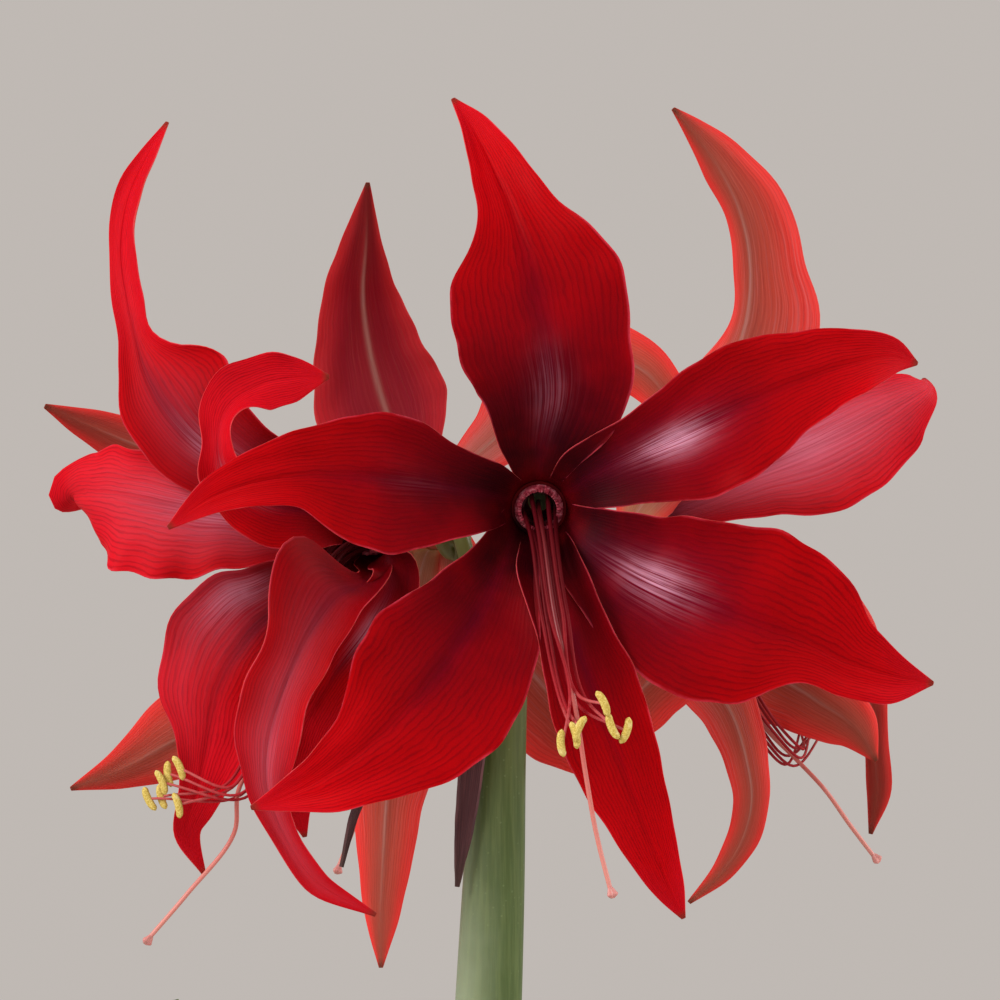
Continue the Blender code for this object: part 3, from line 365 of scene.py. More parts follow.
def unit(vectors):
    vectors = np.asarray(vectors, float)
    return vectors / np.linalg.norm(vectors, axis=-1, keepdims=True).clip(min=1e-12)


# Distances along a list of points, from 0 at the first to 1 at the last.
def chordPlaces(points):
    steps = np.linalg.norm(np.diff(points, axis=0), axis=1)
    places = np.concatenate([[0.0], np.cumsum(steps)])
    return places / places[-1]


# Smooth noise on a grid: the sum of a few sine waves with seeded directions and phases.
def ripple(rows, columns, seed, waves=5, top=4.0):
    random = np.random.default_rng(seed)
    u = np.linspace(0, 1, rows)[:, None]
    v = np.linspace(0, 1, columns)[None]
    total = np.zeros((rows, columns))
    for _ in range(waves):
        a, b = random.uniform(-top, top, 2)
        total += np.sin(fullTurn * (a * u + b * v + random.uniform())) / waves
    return total


# Grid borders that lie on each other become one, so shells, rods and turned pieces are closed.
def weld(mesh):
    sheet = bmesh.new()
    sheet.from_mesh(mesh)
    bmesh.ops.remove_doubles(sheet, verts=sheet.verts, dist=weldReach)
    bmesh.ops.dissolve_degenerate(sheet, edges=sheet.edges, dist=weldReach)
    if all(edge.is_manifold for edge in sheet.edges):
        bmesh.ops.recalc_face_normals(sheet, faces=sheet.faces)
    sheet.to_mesh(mesh)
    sheet.free()
    mesh.set_sharp_from_angle(angle=sharpAngle)
    mesh.validate()


# One mesh from grids of points. Each grid is a dictionary: its points, whether it is closed round its
# columns, whether its faces are flipped, its slot among the finishes, and the values it carries.
def gridMesh(name, grids, finishes):
    vertices, faces, slots = [], [], []
    values = {key: [] for key in carriedValues}
    start = 0
    for grid in grids:
        points = grid["points"]
        rows, columns = points.shape[:2]
        number = start + np.arange(rows * columns).reshape(rows, columns)
        if grid.get("closed"):
            number = np.concatenate([number, number[:, :1]], axis=1)
        quads = np.stack([number[:-1, :-1], number[:-1, 1:], number[1:, 1:], number[1:, :-1]], axis=-1)
        quads = quads.reshape(-1, 4)
        if grid.get("flip"):
            quads = quads[:, ::-1]
        vertices.append(points.reshape(-1, 3))
        faces.append(quads)
        slots.append(np.full(len(quads), grid.get("slot", 0)))
        for key in values:
            values[key].append(np.broadcast_to(grid.get(key, 0.0), (rows, columns)).reshape(-1))
        start += rows * columns
    vertices = np.concatenate(vertices)
    faces = np.concatenate(faces)
    mesh = bpy.data.meshes.new(name)
    mesh.vertices.add(len(vertices))
    mesh.vertices.foreach_set("co", vertices.astype(np.float32).ravel())
    mesh.loops.add(faces.size)
    mesh.loops.foreach_set("vertex_index", faces.astype(np.int32).ravel())
    mesh.polygons.add(len(faces))
    mesh.polygons.foreach_set("loop_start", np.arange(len(faces), dtype=np.int32) * 4)
    mesh.polygons.foreach_set("material_index", np.concatenate(slots).astype(np.int32))
    mesh.polygons.foreach_set("use_smooth", np.ones(len(faces), dtype=bool))
    mesh.update(calc_edges=True)
    for key, parts in values.items():
        layer = mesh.attributes.new(key, "FLOAT", "POINT")
        layer.data.foreach_set("value", np.concatenate(parts).astype(np.float32))
    weld(mesh)
    for finish in finishes:
        mesh.materials.append(finish)
    piece = bpy.data.objects.new(name, mesh)
    bpy.context.scene.collection.objects.link(piece)
    return piece


# The corner normals of a grid of points, from the differences along its rows and columns.
def gridNormals(points):
    return unit(np.cross(np.gradient(points, axis=1), np.gradient(points, axis=0)))


# The closed shell of a blade: its middle surface moved half a thickness each way, thinner towards the
# edges by the taper, and a rim strip.
def shellGrids(points, thickness, along, across, shade=0.0, taper=0.0):
    thin = (1 - taper * abs(across) ** 5)[..., None] if taper else 1.0
    shift = gridNormals(points) * (thickness * thin / 2)
    front, back = points + shift, points - shift
    shade = np.broadcast_to(shade, points.shape[:2])

    def border(values):
        return np.concatenate([values[0, :-1], values[:-1, -1], values[-1, :0:-1], values[:0:-1, 0]])

    rim = np.stack([border(front), border(back)])
    rimAlong = np.stack([border(along)] * 2)
    rimAcross = np.stack([border(across)] * 2)
    rimShade = np.stack([border(shade)] * 2)
    rimOuter = np.array([[0.0], [1.0]]) + np.zeros_like(rimAlong)
    return [
        {"points": front, "along": along, "across": across, "outer": 0.0, "shade": shade},
        {"points": back, "along": along, "across": across, "outer": 1.0, "shade": shade, "flip": True},
        {"points": rim, "closed": True, "along": rimAlong, "across": rimAcross, "outer": rimOuter,
         "shade": rimShade, "flip": True},
    ]


# Rings carried along a smooth path: centre + radius (cos a side + sin a other), closed at both ends.
def rodGrid(points, radii, sides, rows, lobes=0, lobeDepth=0.0):
    points = np.asarray(points, float)
    places = chordPlaces(points)
    where = np.linspace(0, 1, rows)
    middle = smooth(points, places, where)
    radius = smooth(np.asarray(radii, float)[:, None], places, where).clip(min=0.05)
    along = unit(np.gradient(middle, axis=0))
    reference = [0.0, 1.0, 0.0] if abs(along[:, 1]).max() < 0.9 else [1.0, 0.0, 0.0]
    side = unit(np.cross(along, reference))
    other = np.cross(along, side)
    angles = np.arange(sides)[None] * fullTurn / sides
    outline = radius * (1 + lobeDepth * np.cos(lobes * angles))
    rings = (np.cos(angles) * outline)[..., None] * side[:, None]
    rings = rings + (np.sin(angles) * outline)[..., None] * other[:, None] + middle[:, None]
    closed = np.concatenate([np.repeat(middle[:1, None], sides, axis=1), rings,
                             np.repeat(middle[-1:, None], sides, axis=1)])
    alongValues = np.concatenate([[0.0], where, [1.0]])[:, None] + np.zeros((1, sides))
    acrossValues = np.arange(sides)[None] / sides + np.zeros((rows + 2, 1))
    return {"points": closed, "closed": True, "along": alongValues, "across": acrossValues}


# A profile of (radius, level) pairs turned about the vertical through (centreX, 0).
def turnedGrid(profile, segments, centreX=0.0):
    profile = np.asarray(profile, float)
    angles = np.arange(segments) * fullTurn / segments
    x = profile[:, :1] * np.cos(angles)[None] + centreX
    y = profile[:, :1] * np.sin(angles)[None]
    z = profile[:, 1:] + np.zeros_like(angles)[None]
    along = np.linspace(0, 1, len(profile))[:, None] + np.zeros_like(x)
    return {"points": np.stack([x, y, z], axis=-1), "closed": True, "along": along,
            "across": np.arange(segments)[None] / segments + np.zeros_like(x)}


# Millimetres from a frame's origin to metres in the model's frame.
def placeGrids(grids, origin=0.0):
    for grid in grids:
        grid["points"] = grid["points"] * mm + origin
    return grids


def placeHead(grids):
    return placeGrids(grids, headOrigin)


# A piece takes a node's place and rides on the one body.
def finishPiece(piece, node):
    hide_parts(node)
    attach(piece, "root")


# The three directions of a bloom: the way it faces, its upward side and its right side.
def bloomAxes(bloom):
    facing = unit(bloom["facing"])
    up = unit(np.array([0.0, 0.0, 1.0]) - facing * facing[2])
    return facing, up, np.cross(up, facing)


tepalLook = {
    "rows": 76,
    "columns": 35,
    "thickness": 0.7,
    "taper": 0.65,         # how much thinner the edge is than the middle
    "ruffle": 0.7,         # how far the edge waves, at the widest part
    "ruffleCount": 3.2,    # waves along each edge
    "ribDepth": 0.45,      # the furrow along the middle vein
    "swell": 0.5,          # slow unevenness of the blade
    "nibble": 0.020,       # how unevenly the outline runs
    "throatRadius": 6.5,
    "tubeLength": 14.0,
    "tubeBackRadius": 3.4,
    "tubeWall": 0.9,
    "tubeSegments": 48,
    "fringeSegments": 120,
    "fringeRagged": 0.9,
}


# The blade at (w, u), w from foot to tip and u from -1 to 1: middle(w) + side(w) h sin(c u) / sin c
# + facing(w) h (1 - cos(c u)) / sin c, with half-width h, cup angle c, and waves on the edges.
def bladeSurface(points, sides, left, right, cup, look, seed):
    rows, columns = look["rows"], look["columns"]
    places = chordPlaces(points)
    where = np.linspace(0, 1, rows)
    middle = smooth(points, places, where)
    step = 0.001
    ahead = smooth(points, places, np.clip(where + step, 0, 1))
    behind = smooth(points, places, np.clip(where - step, 0, 1))
    alongWay = unit(ahead - behind)
    side = smooth(sides, places, where)
    side = unit(side - alongWay * np.sum(side * alongWay, axis=1, keepdims=True))
    facing = np.cross(side, alongWay)
    widths = smooth(np.column_stack([left, right, np.radians(cup)]), places, where)
    crowding = 0.35  # how much closer the columns lie near the edges
    even = np.linspace(-1, 1, columns)
    across = (np.sin(even * math.pi / 2) * crowding + even * (1 - crowding))[None]
    half = np.where(across < 0, widths[:, :1], widths[:, 1:2]).clip(min=0.3)
    nibble = np.sin(where * 61 + seed)[:, None] * 0.5 + np.sin(where * 37 + seed * 2.3)[:, None] * 0.5
    half = half * (1 + look["nibble"] * nibble * np.where(across < 0, 1, -1))
    flattest = 0.02  # radians of cup that keep the formula from dividing by nothing
    bend = np.where(abs(widths[:, 2:]) < flattest, flattest, widths[:, 2:])
    sideways = half * np.sin(abs(bend) * across) / np.sin(abs(bend))
    lift = half * (1 - np.cos(bend * across)) / np.sin(bend)
    w = where[:, None]
    random = np.random.default_rng(seed)
    phase = random.uniform(0, fullTurn, 4)
    free = np.clip((w - 0.22) / 0.2, 0, 1) * np.clip((1 - w) / 0.12, 0, 1)
    waves = fullTurn * look["ruffleCount"] * w
    wave = np.sin(waves + np.where(across < 0, phase[0], phase[1]))
    fine = 0.4 * np.sin(waves * 2.7 + np.where(across < 0, phase[2], phase[3]))
    size = np.clip(half / 14, 0.25, 1.2) * free
    lift = lift + look["ruffle"] * (wave + fine) * abs(across) ** 3 * size
    lift = lift - look["ribDepth"] * np.exp(-(across / 0.09) ** 2) * np.clip(half / 10, 0, 1) * free
    lift = lift + look["swell"] * ripple(rows, columns, seed + 1) * size
    surface = middle[:, None] + side[:, None] * sideways[..., None] + facing[:, None] * lift[..., None]
    return surface, w + np.zeros_like(across), across + np.zeros_like(w)


# Side vectors: across the vein in the picture plane, then turned about the vein.
def stationSides(points, turns):
    along = unit(np.gradient(points, chordPlaces(points), axis=0))
    flat = unit(np.column_stack([along[:, 2], np.zeros(len(along)), -along[:, 0]]))
    facing = np.cross(flat, along)
    turns = np.radians(turns)[:, None]
    return np.cos(turns) * flat + np.sin(turns) * facing


# A tepal starts inside the tube's wall and bends out over the throat before its first station.
def tepalSurface(bloom, clock, stations, look, seed):
    facing, up, rightWay = bloomAxes(bloom)
    angle = math.radians(clock)
    outward = math.cos(angle) * up + math.sin(angle) * rightWay
    tangent = math.cos(angle) * rightWay - math.sin(angle) * up
    throat = np.array(bloom["throat"], float)
    stations = np.array(stations, float)
    foot = throat - facing * look["tubeLength"] / 2 + outward * look["throatRadius"] * 0.8
    lip = throat + outward * look["throatRadius"] * 1.1
    points = np.vstack([foot, lip, stations[:, :3]])
    sides = np.vstack([tangent, tangent, stationSides(points, np.r_[0, 0, stations[:, 3]])[2:]])
    footHalf, lipHalf, footCup, lipCup = 3.4, 5, 30, 35
    left = np.r_[footHalf, lipHalf, stations[:, 4]]
    right = np.r_[footHalf, lipHalf, stations[:, 5]]
    cup = np.r_[footCup, lipCup, stations[:, 6]]
    return bladeSurface(points, sides, left, right, cup, look, seed)


# A ring of a profile (radius, level) turned about the bloom's own axis, with a toothed edge if asked.
def axisRing(bloom, profile, segments, raggedRow=None, ragged=0.0):
    facing, up, rightWay = bloomAxes(bloom)
    profile = np.asarray(profile, float)
    angles = np.arange(segments) * fullTurn / segments
    spoke = np.cos(angles)[:, None] * up + np.sin(angles)[:, None] * rightWay
    level = profile[:, 1:] + np.zeros(segments)[None]
    if raggedRow is not None:
        teeth = np.sin(angles * 17) * 0.5 + np.sin(angles * 41 + 1) * 0.5
        level[raggedRow] += ragged * teeth
    return np.array(bloom["throat"], float) + profile[:, :1, None] * spoke[None] + facing * level[..., None]


# Tepal skin. Inside: dark maroon throat, blood red blade with fine darker veins, a painted lilac sheen and
# a pale pink painted sheen wash where the traits put them, and a thin pink rim of painted light. Outside:
# wine to salmon by the tone, with a brown band and a pale line along the middle vein, bright red edges of
# painted backlight, pale frost that also stands for painted sheen, and the painted rim light.
def makeTepalFinish():
    finish = Finish("tepalSkin", {"Roughness": 0.5, "Specular IOR Level": 0.045, "IOR": 1.4,
                                  "Subsurface Weight": 0.25, "Subsurface Scale": 0.0016})
    along, across = finish.attribute("along"), finish.attribute("across")
    # For tepals the shade value carries the painted sheen's strength.
    outer, shade = finish.attribute("outer"), finish.attribute("shade")
    spread = finish.maths("ABSOLUTE", across)
    place = finish.place()
    blotch = finish.noise(place, 55.0, 3.0)
    grain = finish.noise(place, 1100.0, 2.0)
    wander = finish.noise(finish.vector(across * 3.0, along * 9.0, shade * 7.0), 1.6, 3.0)
    veinPhase = (across * (1 - 0.25 * along) + (wander - 0.5) * 0.12) * 92.0
    veins = finish.maths("SINE", veinPhase) * 0.5 + 0.5
    broken = finish.noise(finish.vector(across * 46.0, along * 16.0, shade * 5.0), 1.0, 3.0)
    veinLine = finish.step(veins * 0.55 + broken * 0.6, 0.56, 0.98)
    streaks = finish.noise(finish.vector(across * 40.0, along * 2.6, shade * 11.0), 1.0, 4.0, 0.65)

    depth = along / finish.attribute("reach") + (blotch - 0.5) * 0.08 + (streaks - 0.5) * 0.12
    depth = finish.clamped(depth + spread * 0.08 - 0.03)
    red = finish.ramp(depth, [(0.0, (0.010, 0.0002, 0.001)), (0.17, (0.028, 0.0002, 0.002)),
                              (0.28, (0.085, 0.0002, 0.003)), (0.42, (0.21, 0.0001, 0.003)),
                              (0.62, (0.35, 0.0002, 0.002)), (0.85, (0.52, 0.001, 0.004)),
                              (1.0, (0.58, 0.004, 0.012))])
    wine = finish.bell(across, 0.0, 0.15) * finish.bell(along, 0.36, 0.24) * 0.6
    inside = finish.mix(wine, red, colour(0.085, 0.0002, 0.008))
    veinShare = veinLine * finish.step(along, 0.16, 0.4) * 0.5
    inside = finish.mix(veinShare, inside, colour(0.11, 0.0001, 0.003))
    inside = finish.mix(finish.step(blotch, 0.40, 0.75) * 0.16, inside, colour(0.56, 0.0005, 0.003))
    # Painted sheen: a lilac reflection with a darker crimson haze round it, painted into the colour where
    # each tepal's traits place it.
    spotAlong, spotAcross = finish.attribute("spotAlong"), finish.attribute("spotAcross")
    haze = finish.bell(along - spotAlong, 0.0, 0.15) * finish.bell(across - spotAcross, 0.0, 0.45) * shade
    inside = finish.mix(finish.clamped(haze * 0.34), inside, colour(0.30, 0.008, 0.045))
    sheenCore = finish.bell(along - spotAlong, 0.0, 0.075) * finish.bell(across - spotAcross, 0.0, 0.22) * shade
    sheenMask = finish.clamped(sheenCore * finish.step(streaks + (blotch - 0.5) * 0.5, 0.36, 0.64) * 1.1)
    inside = finish.mix(sheenMask, inside, colour(0.64, 0.30, 0.42))
    # Painted rim light: the thin edge is painted pale pink where light catches it.
    edge = finish.step(spread, 0.962, 1.0)
    inside = finish.mix(edge * finish.step(wander, 0.35, 0.65) * 0.6, inside, colour(0.66, 0.05, 0.09))
    # Painted sheen: a broad pale pink wash round the sheen's spot.
    wash = finish.attribute("wash") * finish.bell(along - spotAlong, 0.0, 0.26)
    wash = wash * finish.bell(across - spotAcross, 0.0, 0.62)
    wash = wash * (0.55 + finish.step(streaks, 0.3, 0.7) * 0.45)
    inside = finish.mix(finish.clamped(wash), inside, colour(0.72, 0.16, 0.24))

    tone = finish.attribute("tone")
    wineBack = finish.ramp(along, [(0.0, (0.20, 0.06, 0.03)), (0.25, (0.30, 0.015, 0.03)),
                                   (0.7, (0.20, 0.003, 0.010)), (1.0, (0.16, 0.010, 0.012))])
    salmonBack = finish.ramp(along, [(0.0, (0.26, 0.18, 0.06)), (0.2, (0.50, 0.13, 0.11)),
                                     (0.6, (0.60, 0.075, 0.05)), (1.0, (0.42, 0.06, 0.04))])
    back = finish.mix(finish.clamped(tone + (streaks - 0.5) * 0.5), wineBack, salmonBack)
    # Painted backlight: the back turns bright red towards its edges, as if light shone through the thin
    # blade.
    backlitMargin = finish.step(spread, 0.35, 0.95)
    back = finish.mix(backlitMargin * (0.30 + tone * 0.45), back, colour(0.86, 0.035, 0.035))
    ridge = finish.bell(across, 0.0, 0.30) * (0.05 + tone * 0.42)
    back = finish.mix(finish.clamped(ridge), back, colour(0.22, 0.085, 0.055))
    keel = finish.bell(across, 0.0, 0.045) * (1 - finish.step(along, 0.65, 0.95))
    back = finish.mix(keel * 0.5, back, colour(0.42, 0.24, 0.20))
    back = finish.mix(veinLine * 0.26, back, colour(0.20, 0.012, 0.014))
    # Pale pink-silver frost on the back, which also stands for painted sheen.
    frostAndSheen = finish.step(streaks, 0.46, 0.76) * finish.bell(along, 0.45, 0.3)
    back = finish.mix(frostAndSheen * (0.03 + tone * 0.42), back, colour(0.68, 0.30, 0.32))
    # Painted rim light on the back's thin edge as well.
    back = finish.mix(edge * 0.4, back, colour(0.66, 0.10, 0.10))
    both = finish.mix(outer, inside, back)
    both = finish.mix(finish.step(along, 0.975, 1.0) * 0.7, both, colour(0.10, 0.035, 0.02))
    finish.set("Base Color", both)
    finish.set("Roughness", 0.44 + blotch * 0.16 + sheenMask * 0.1)
    finish.bump(broken * 0.5 + veins * 0.25 + grain * 0.25 + streaks * 0.5, 0.00013, 0.7)
    return finish.material


# The fringe in the throat is mottled pink to dark red.
def makeFringeFinish():
    finish = Finish("throatFringe", {"Roughness": 0.55, "Specular IOR Level": 0.2})
    mottle = finish.noise(finish.place(), 800.0, 3.0)
    tone = finish.ramp(mottle, [(0.3, (0.10, 0.002, 0.008)), (0.5, (0.34, 0.035, 0.06)),
                                (0.75, (0.55, 0.20, 0.24))])
    finish.set("Base Color", tone)
    finish.bump(mottle, 0.0002)
    return finish.material


# Filaments run from dark red at the foot to pink at the tip.
def makeFilamentFinish():
    finish = Finish("filament", {"Roughness": 0.5, "Specular IOR Level": 0.12, "Subsurface Weight": 0.1,
                                 "Subsurface Scale": 0.001})
    along = finish.attribute("along")
    speck = finish.noise(finish.place(), 700.0, 2.0)
    tone = finish.ramp(finish.clamped(along + (speck - 0.5) * 0.12), [
        (0.0, (0.04, 0.0005, 0.003)), (0.5, (0.14, 0.001, 0.005)), (0.85, (0.36, 0.012, 0.02)),
        (1.0, (0.55, 0.12, 0.12))])
    finish.set("Base Color", tone)
    finish.bump(speck, 0.00006)
    return finish.material


# Anthers are dusted with pale yellow pollen and have one darker furrow along their length.
def makeAntherFinish():
    finish = Finish("anther", {"Roughness": 0.9})
    pollen = finish.noise(finish.place(), 2600.0, 3.0, 0.7)
    patch = finish.noise(finish.place(), 420.0, 2.0)
    furrow = finish.bell(finish.attribute("across"), 0.5, 0.06)
    tone = finish.mix(finish.step(pollen, 0.35, 0.7), colour(0.52, 0.36, 0.05), colour(0.83, 0.66, 0.20))
    tone = finish.mix(furrow * 0.6, tone, colour(0.42, 0.26, 0.05))
    tone = finish.mix(finish.step(patch, 0.55, 0.8) * 0.4, tone, colour(0.86, 0.76, 0.42))
    finish.set("Base Color", tone)
    finish.bump(pollen - furrow, 0.00015)
    return finish.material


# The style is dark red in the throat and salmon pink beyond it, up to the stigma.
def makeStyleFinish():
    finish = Finish("style", {"Roughness": 0.45, "Subsurface Weight": 0.1, "Subsurface Scale": 0.001})
    along = finish.attribute("along")
    speck = finish.noise(finish.place(), 260.0, 2.0)
    tone = finish.ramp(finish.clamped(along + (speck - 0.5) * 0.04), [
        (0.0, (0.10, 0.002, 0.006)), (0.45, (0.22, 0.006, 0.012)), (0.7, (0.60, 0.14, 0.12)),
        (0.97, (0.66, 0.24, 0.20)), (1.0, (0.62, 0.24, 0.22))])
    finish.set("Base Color", tone)
    finish.bump(speck, 0.00008)
    return finish.material


# The stalk is olive green, paler on its left from a waxy bloom and painted light, and with a darker cast
# near the top.
def makeStalkFinish():
    finish = Finish("stalk", {"Roughness": 0.45, "Specular IOR Level": 0.4, "Subsurface Weight": 0.06,
                              "Subsurface Scale": 0.002})
    place = finish.place()
    sideways, height = finish.coordinate(0), finish.coordinate(2)
    stretched = finish.node("ShaderNodeMapping", {}, {"Vector": place, "Scale": (1, 1, 0.06)})
    fibres = finish.noise(stretched, 900.0, 3.0)
    cloud = finish.noise(place, 45.0, 4.0)
    fibreShare = finish.step(fibres, 0.35, 0.7)
    tone = finish.mix(fibreShare, colour(0.072, 0.115, 0.026), colour(0.115, 0.165, 0.045))
    # Painted light: the left side, towards the key light, is painted pale like a waxy bloom; it fades out
    # near the top.
    waxAndLeftLight = finish.step(sideways * -130.0 + (cloud - 0.5) * 1.2, -1.1, 1.2)
    waxAndLeftLight = waxAndLeftLight * (1 - finish.step(height, 0.44, 0.50))
    tone = finish.mix(finish.clamped(waxAndLeftLight * 0.9), tone, colour(0.36, 0.42, 0.28))
    tone = finish.mix(finish.step(height, 0.47, 0.53) * 0.75, tone, colour(0.11, 0.105, 0.022))
    specks = finish.node("ShaderNodeTexVoronoi", {}, {"Vector": place, "Scale": 420.0})
    tone = finish.mix((1 - finish.step(specks, 0.06, 0.16)) * 0.18, tone, colour(0.32, 0.42, 0.20))
    finish.set("Base Color", tone)
    finish.set("Roughness", 0.38 + cloud * 0.18 + waxAndLeftLight * 0.15)
    finish.bump(fibres, 0.00018, 0.6)
    return finish.material


# Strap leaves: deep green with long parallel veins, a paler middle, a thin lighter edge and a tip painted
# darker as shade.
def makeLeafFinish():
    finish = Finish("strapLeaf", {"Roughness": 0.4, "Specular IOR Level": 0.45})
    along, across = finish.attribute("along"), finish.attribute("across")
    lines = finish.noise(finish.vector(across * 40.0, along * 2.0, finish.attribute("shade")), 1.0, 3.0)
    veins = finish.maths("SINE", across * 62.0) * 0.5 + 0.5
    cloud = finish.noise(finish.place(), 38.0, 4.0)
    # The tip is painted darker as shade.
    tone = finish.ramp(finish.clamped(along + (cloud - 0.5) * 0.1), [
        (0.0, (0.33, 0.36, 0.17)), (0.1, (0.14, 0.21, 0.055)), (0.4, (0.052, 0.125, 0.026)),
        (0.92, (0.045, 0.10, 0.022)), (1.0, (0.035, 0.045, 0.015))])
    tone = finish.mix(finish.step(lines, 0.5, 0.8) * 0.35, tone, colour(0.10, 0.20, 0.055))
    tone = finish.mix(finish.bell(across, 0.0, 0.12) * 0.35, tone, colour(0.13, 0.22, 0.075))
    edge = finish.step(finish.maths("ABSOLUTE", across), 0.95, 1.0)
    tone = finish.mix(edge * 0.6, tone, colour(0.22, 0.26, 0.10))
    tone = finish.mix(finish.attribute("outer") * 0.35, tone, colour(0.12, 0.19, 0.08))
    finish.set("Base Color", tone)
    finish.set("Roughness", 0.32 + cloud * 0.2)
    finish.bump(veins + lines * 0.6, 0.00022, 0.7)
    return finish.material


# Dry bracts: papery purple brown with long fibres.
def makeBractFinish():
    finish = Finish("dryBract", {"Roughness": 0.6})
    along, across = finish.attribute("along"), finish.attribute("across")
    fibres = finish.noise(finish.vector(across * 26.0, along * 3.0, 0.0), 1.0, 4.0)
    tone = finish.mix(finish.step(fibres, 0.35, 0.7), colour(0.055, 0.012, 0.018), colour(0.17, 0.055, 0.06))
    tone = finish.mix(finish.step(along, 0.8, 1.0) * 0.6, tone, colour(0.06, 0.03, 0.02))
    finish.set("Base Color", tone)
    finish.bump(fibres, 0.0003)
    return finish.material


# The bulb's skin: thin brown paper with long ribs, paler and darker patches, and a pale green neck.
# The ribs' noise runs round a circle, so it meets itself at the seam.
def makeTunicFinish():
    finish = Finish("papertunic", {"Roughness": 0.55, "Specular IOR Level": 0.35})
    along, across = finish.attribute("along"), finish.attribute("across")
    shade = finish.attribute("shade")
    roundX = finish.maths("COSINE", across * fullTurn)
    roundY = finish.maths("SINE", across * fullTurn)
    ribs = finish.noise(finish.vector(roundX * 14.0, roundY * 14.0, along * 3.0 + shade * 3.0), 1.0, 4.0)
    cloud = finish.noise(finish.place(), 70.0, 5.0, 0.65)
    tone = finish.mix(finish.step(ribs, 0.3, 0.7), colour(0.11, 0.045, 0.018), colour(0.33, 0.165, 0.07))
    tone = finish.mix(finish.step(cloud, 0.5, 0.7) * 0.55, tone, colour(0.42, 0.27, 0.12))
    tone = finish.mix(finish.step(cloud, 0.62, 0.8) * 0.6, tone, colour(0.085, 0.035, 0.016))
    tone = finish.mix(finish.step(along, 0.9, 1.0) * 0.6, tone, colour(0.40, 0.36, 0.16))
    finish.set("Base Color", tone)
    finish.set("Roughness", 0.42 + cloud * 0.3)
    finish.bump(ribs + cloud * 0.6, 0.0006, 0.9)
    return finish.material


# Potting soil: near black peat with brown fibres and a few pale grains.
def makeSoilFinish():
    finish = Finish("pottingSoil", {"Roughness": 0.95, "Specular IOR Level": 0.2})
    place = finish.place()
    coarse = finish.noise(place, 160.0, 5.0, 0.7)
    fine = finish.noise(place, 900.0, 4.0, 0.7)
    fibres = finish.step(coarse, 0.35, 0.7)
    tone = finish.mix(fibres, colour(0.014, 0.009, 0.006), colour(0.060, 0.034, 0.019))
    tone = finish.mix(finish.step(fine, 0.6, 0.75) * 0.6, tone, colour(0.15, 0.085, 0.045))
    tone = finish.mix(finish.attribute("shade"), tone, colour(0.55, 0.52, 0.46))
    finish.set("Base Color", tone)
    finish.bump(coarse + fine * 0.5, 0.0012)
    return finish.material


# Fired clay: warm orange brown, sandy, with a pale mineral haze below the rim and darker towards the foot.
def makeClayFinish():
    finish = Finish("firedClay", {"Roughness": 0.85, "Specular IOR Level": 0.25})
    place = finish.place()
    height = finish.coordinate(2)
    cloud = finish.noise(place, 16.0, 6.0, 0.6)
    sand = finish.noise(place, 850.0, 3.0, 0.7)
    ringed = finish.node("ShaderNodeMapping", {}, {"Vector": place, "Scale": (0.15, 0.15, 6.0)})
    turned = finish.noise(ringed, 60.0, 3.0)
    tone = finish.mix(finish.step(cloud, 0.3, 0.7), colour(0.38, 0.135, 0.062), colour(0.51, 0.205, 0.105))
    tone = finish.mix(finish.step(sand, 0.6, 0.75) * 0.4, tone, colour(0.24, 0.085, 0.04))
    haze = finish.bell(height, 0.112, 0.022) * finish.step(cloud, 0.45, 0.7)
    tone = finish.mix(haze * 0.55, tone, colour(0.66, 0.52, 0.42))
    # Darker towards the foot.
    tone = finish.mix((1 - finish.step(height, 0.0, 0.03)) * 0.35, tone, colour(0.22, 0.085, 0.045))
    finish.set("Base Color", tone)
    finish.set("Roughness", 0.78 + sand * 0.15)
    finish.bump(sand * 0.6 + turned * 0.7, 0.0005, 0.8)
    return finish.material


tepalSkin = makeTepalFinish()
fringeFinish = makeFringeFinish()
filamentFinish = makeFilamentFinish()
antherFinish = makeAntherFinish()
styleFinish = makeStyleFinish()
stalkFinish = makeStalkFinish()
leafFinish = makeLeafFinish()
bractFinish = makeBractFinish()
tunicFinish = makeTunicFinish()
soilFinish = makeSoilFinish()
clayFinish = makeClayFinish()
print("stage: finishes made")


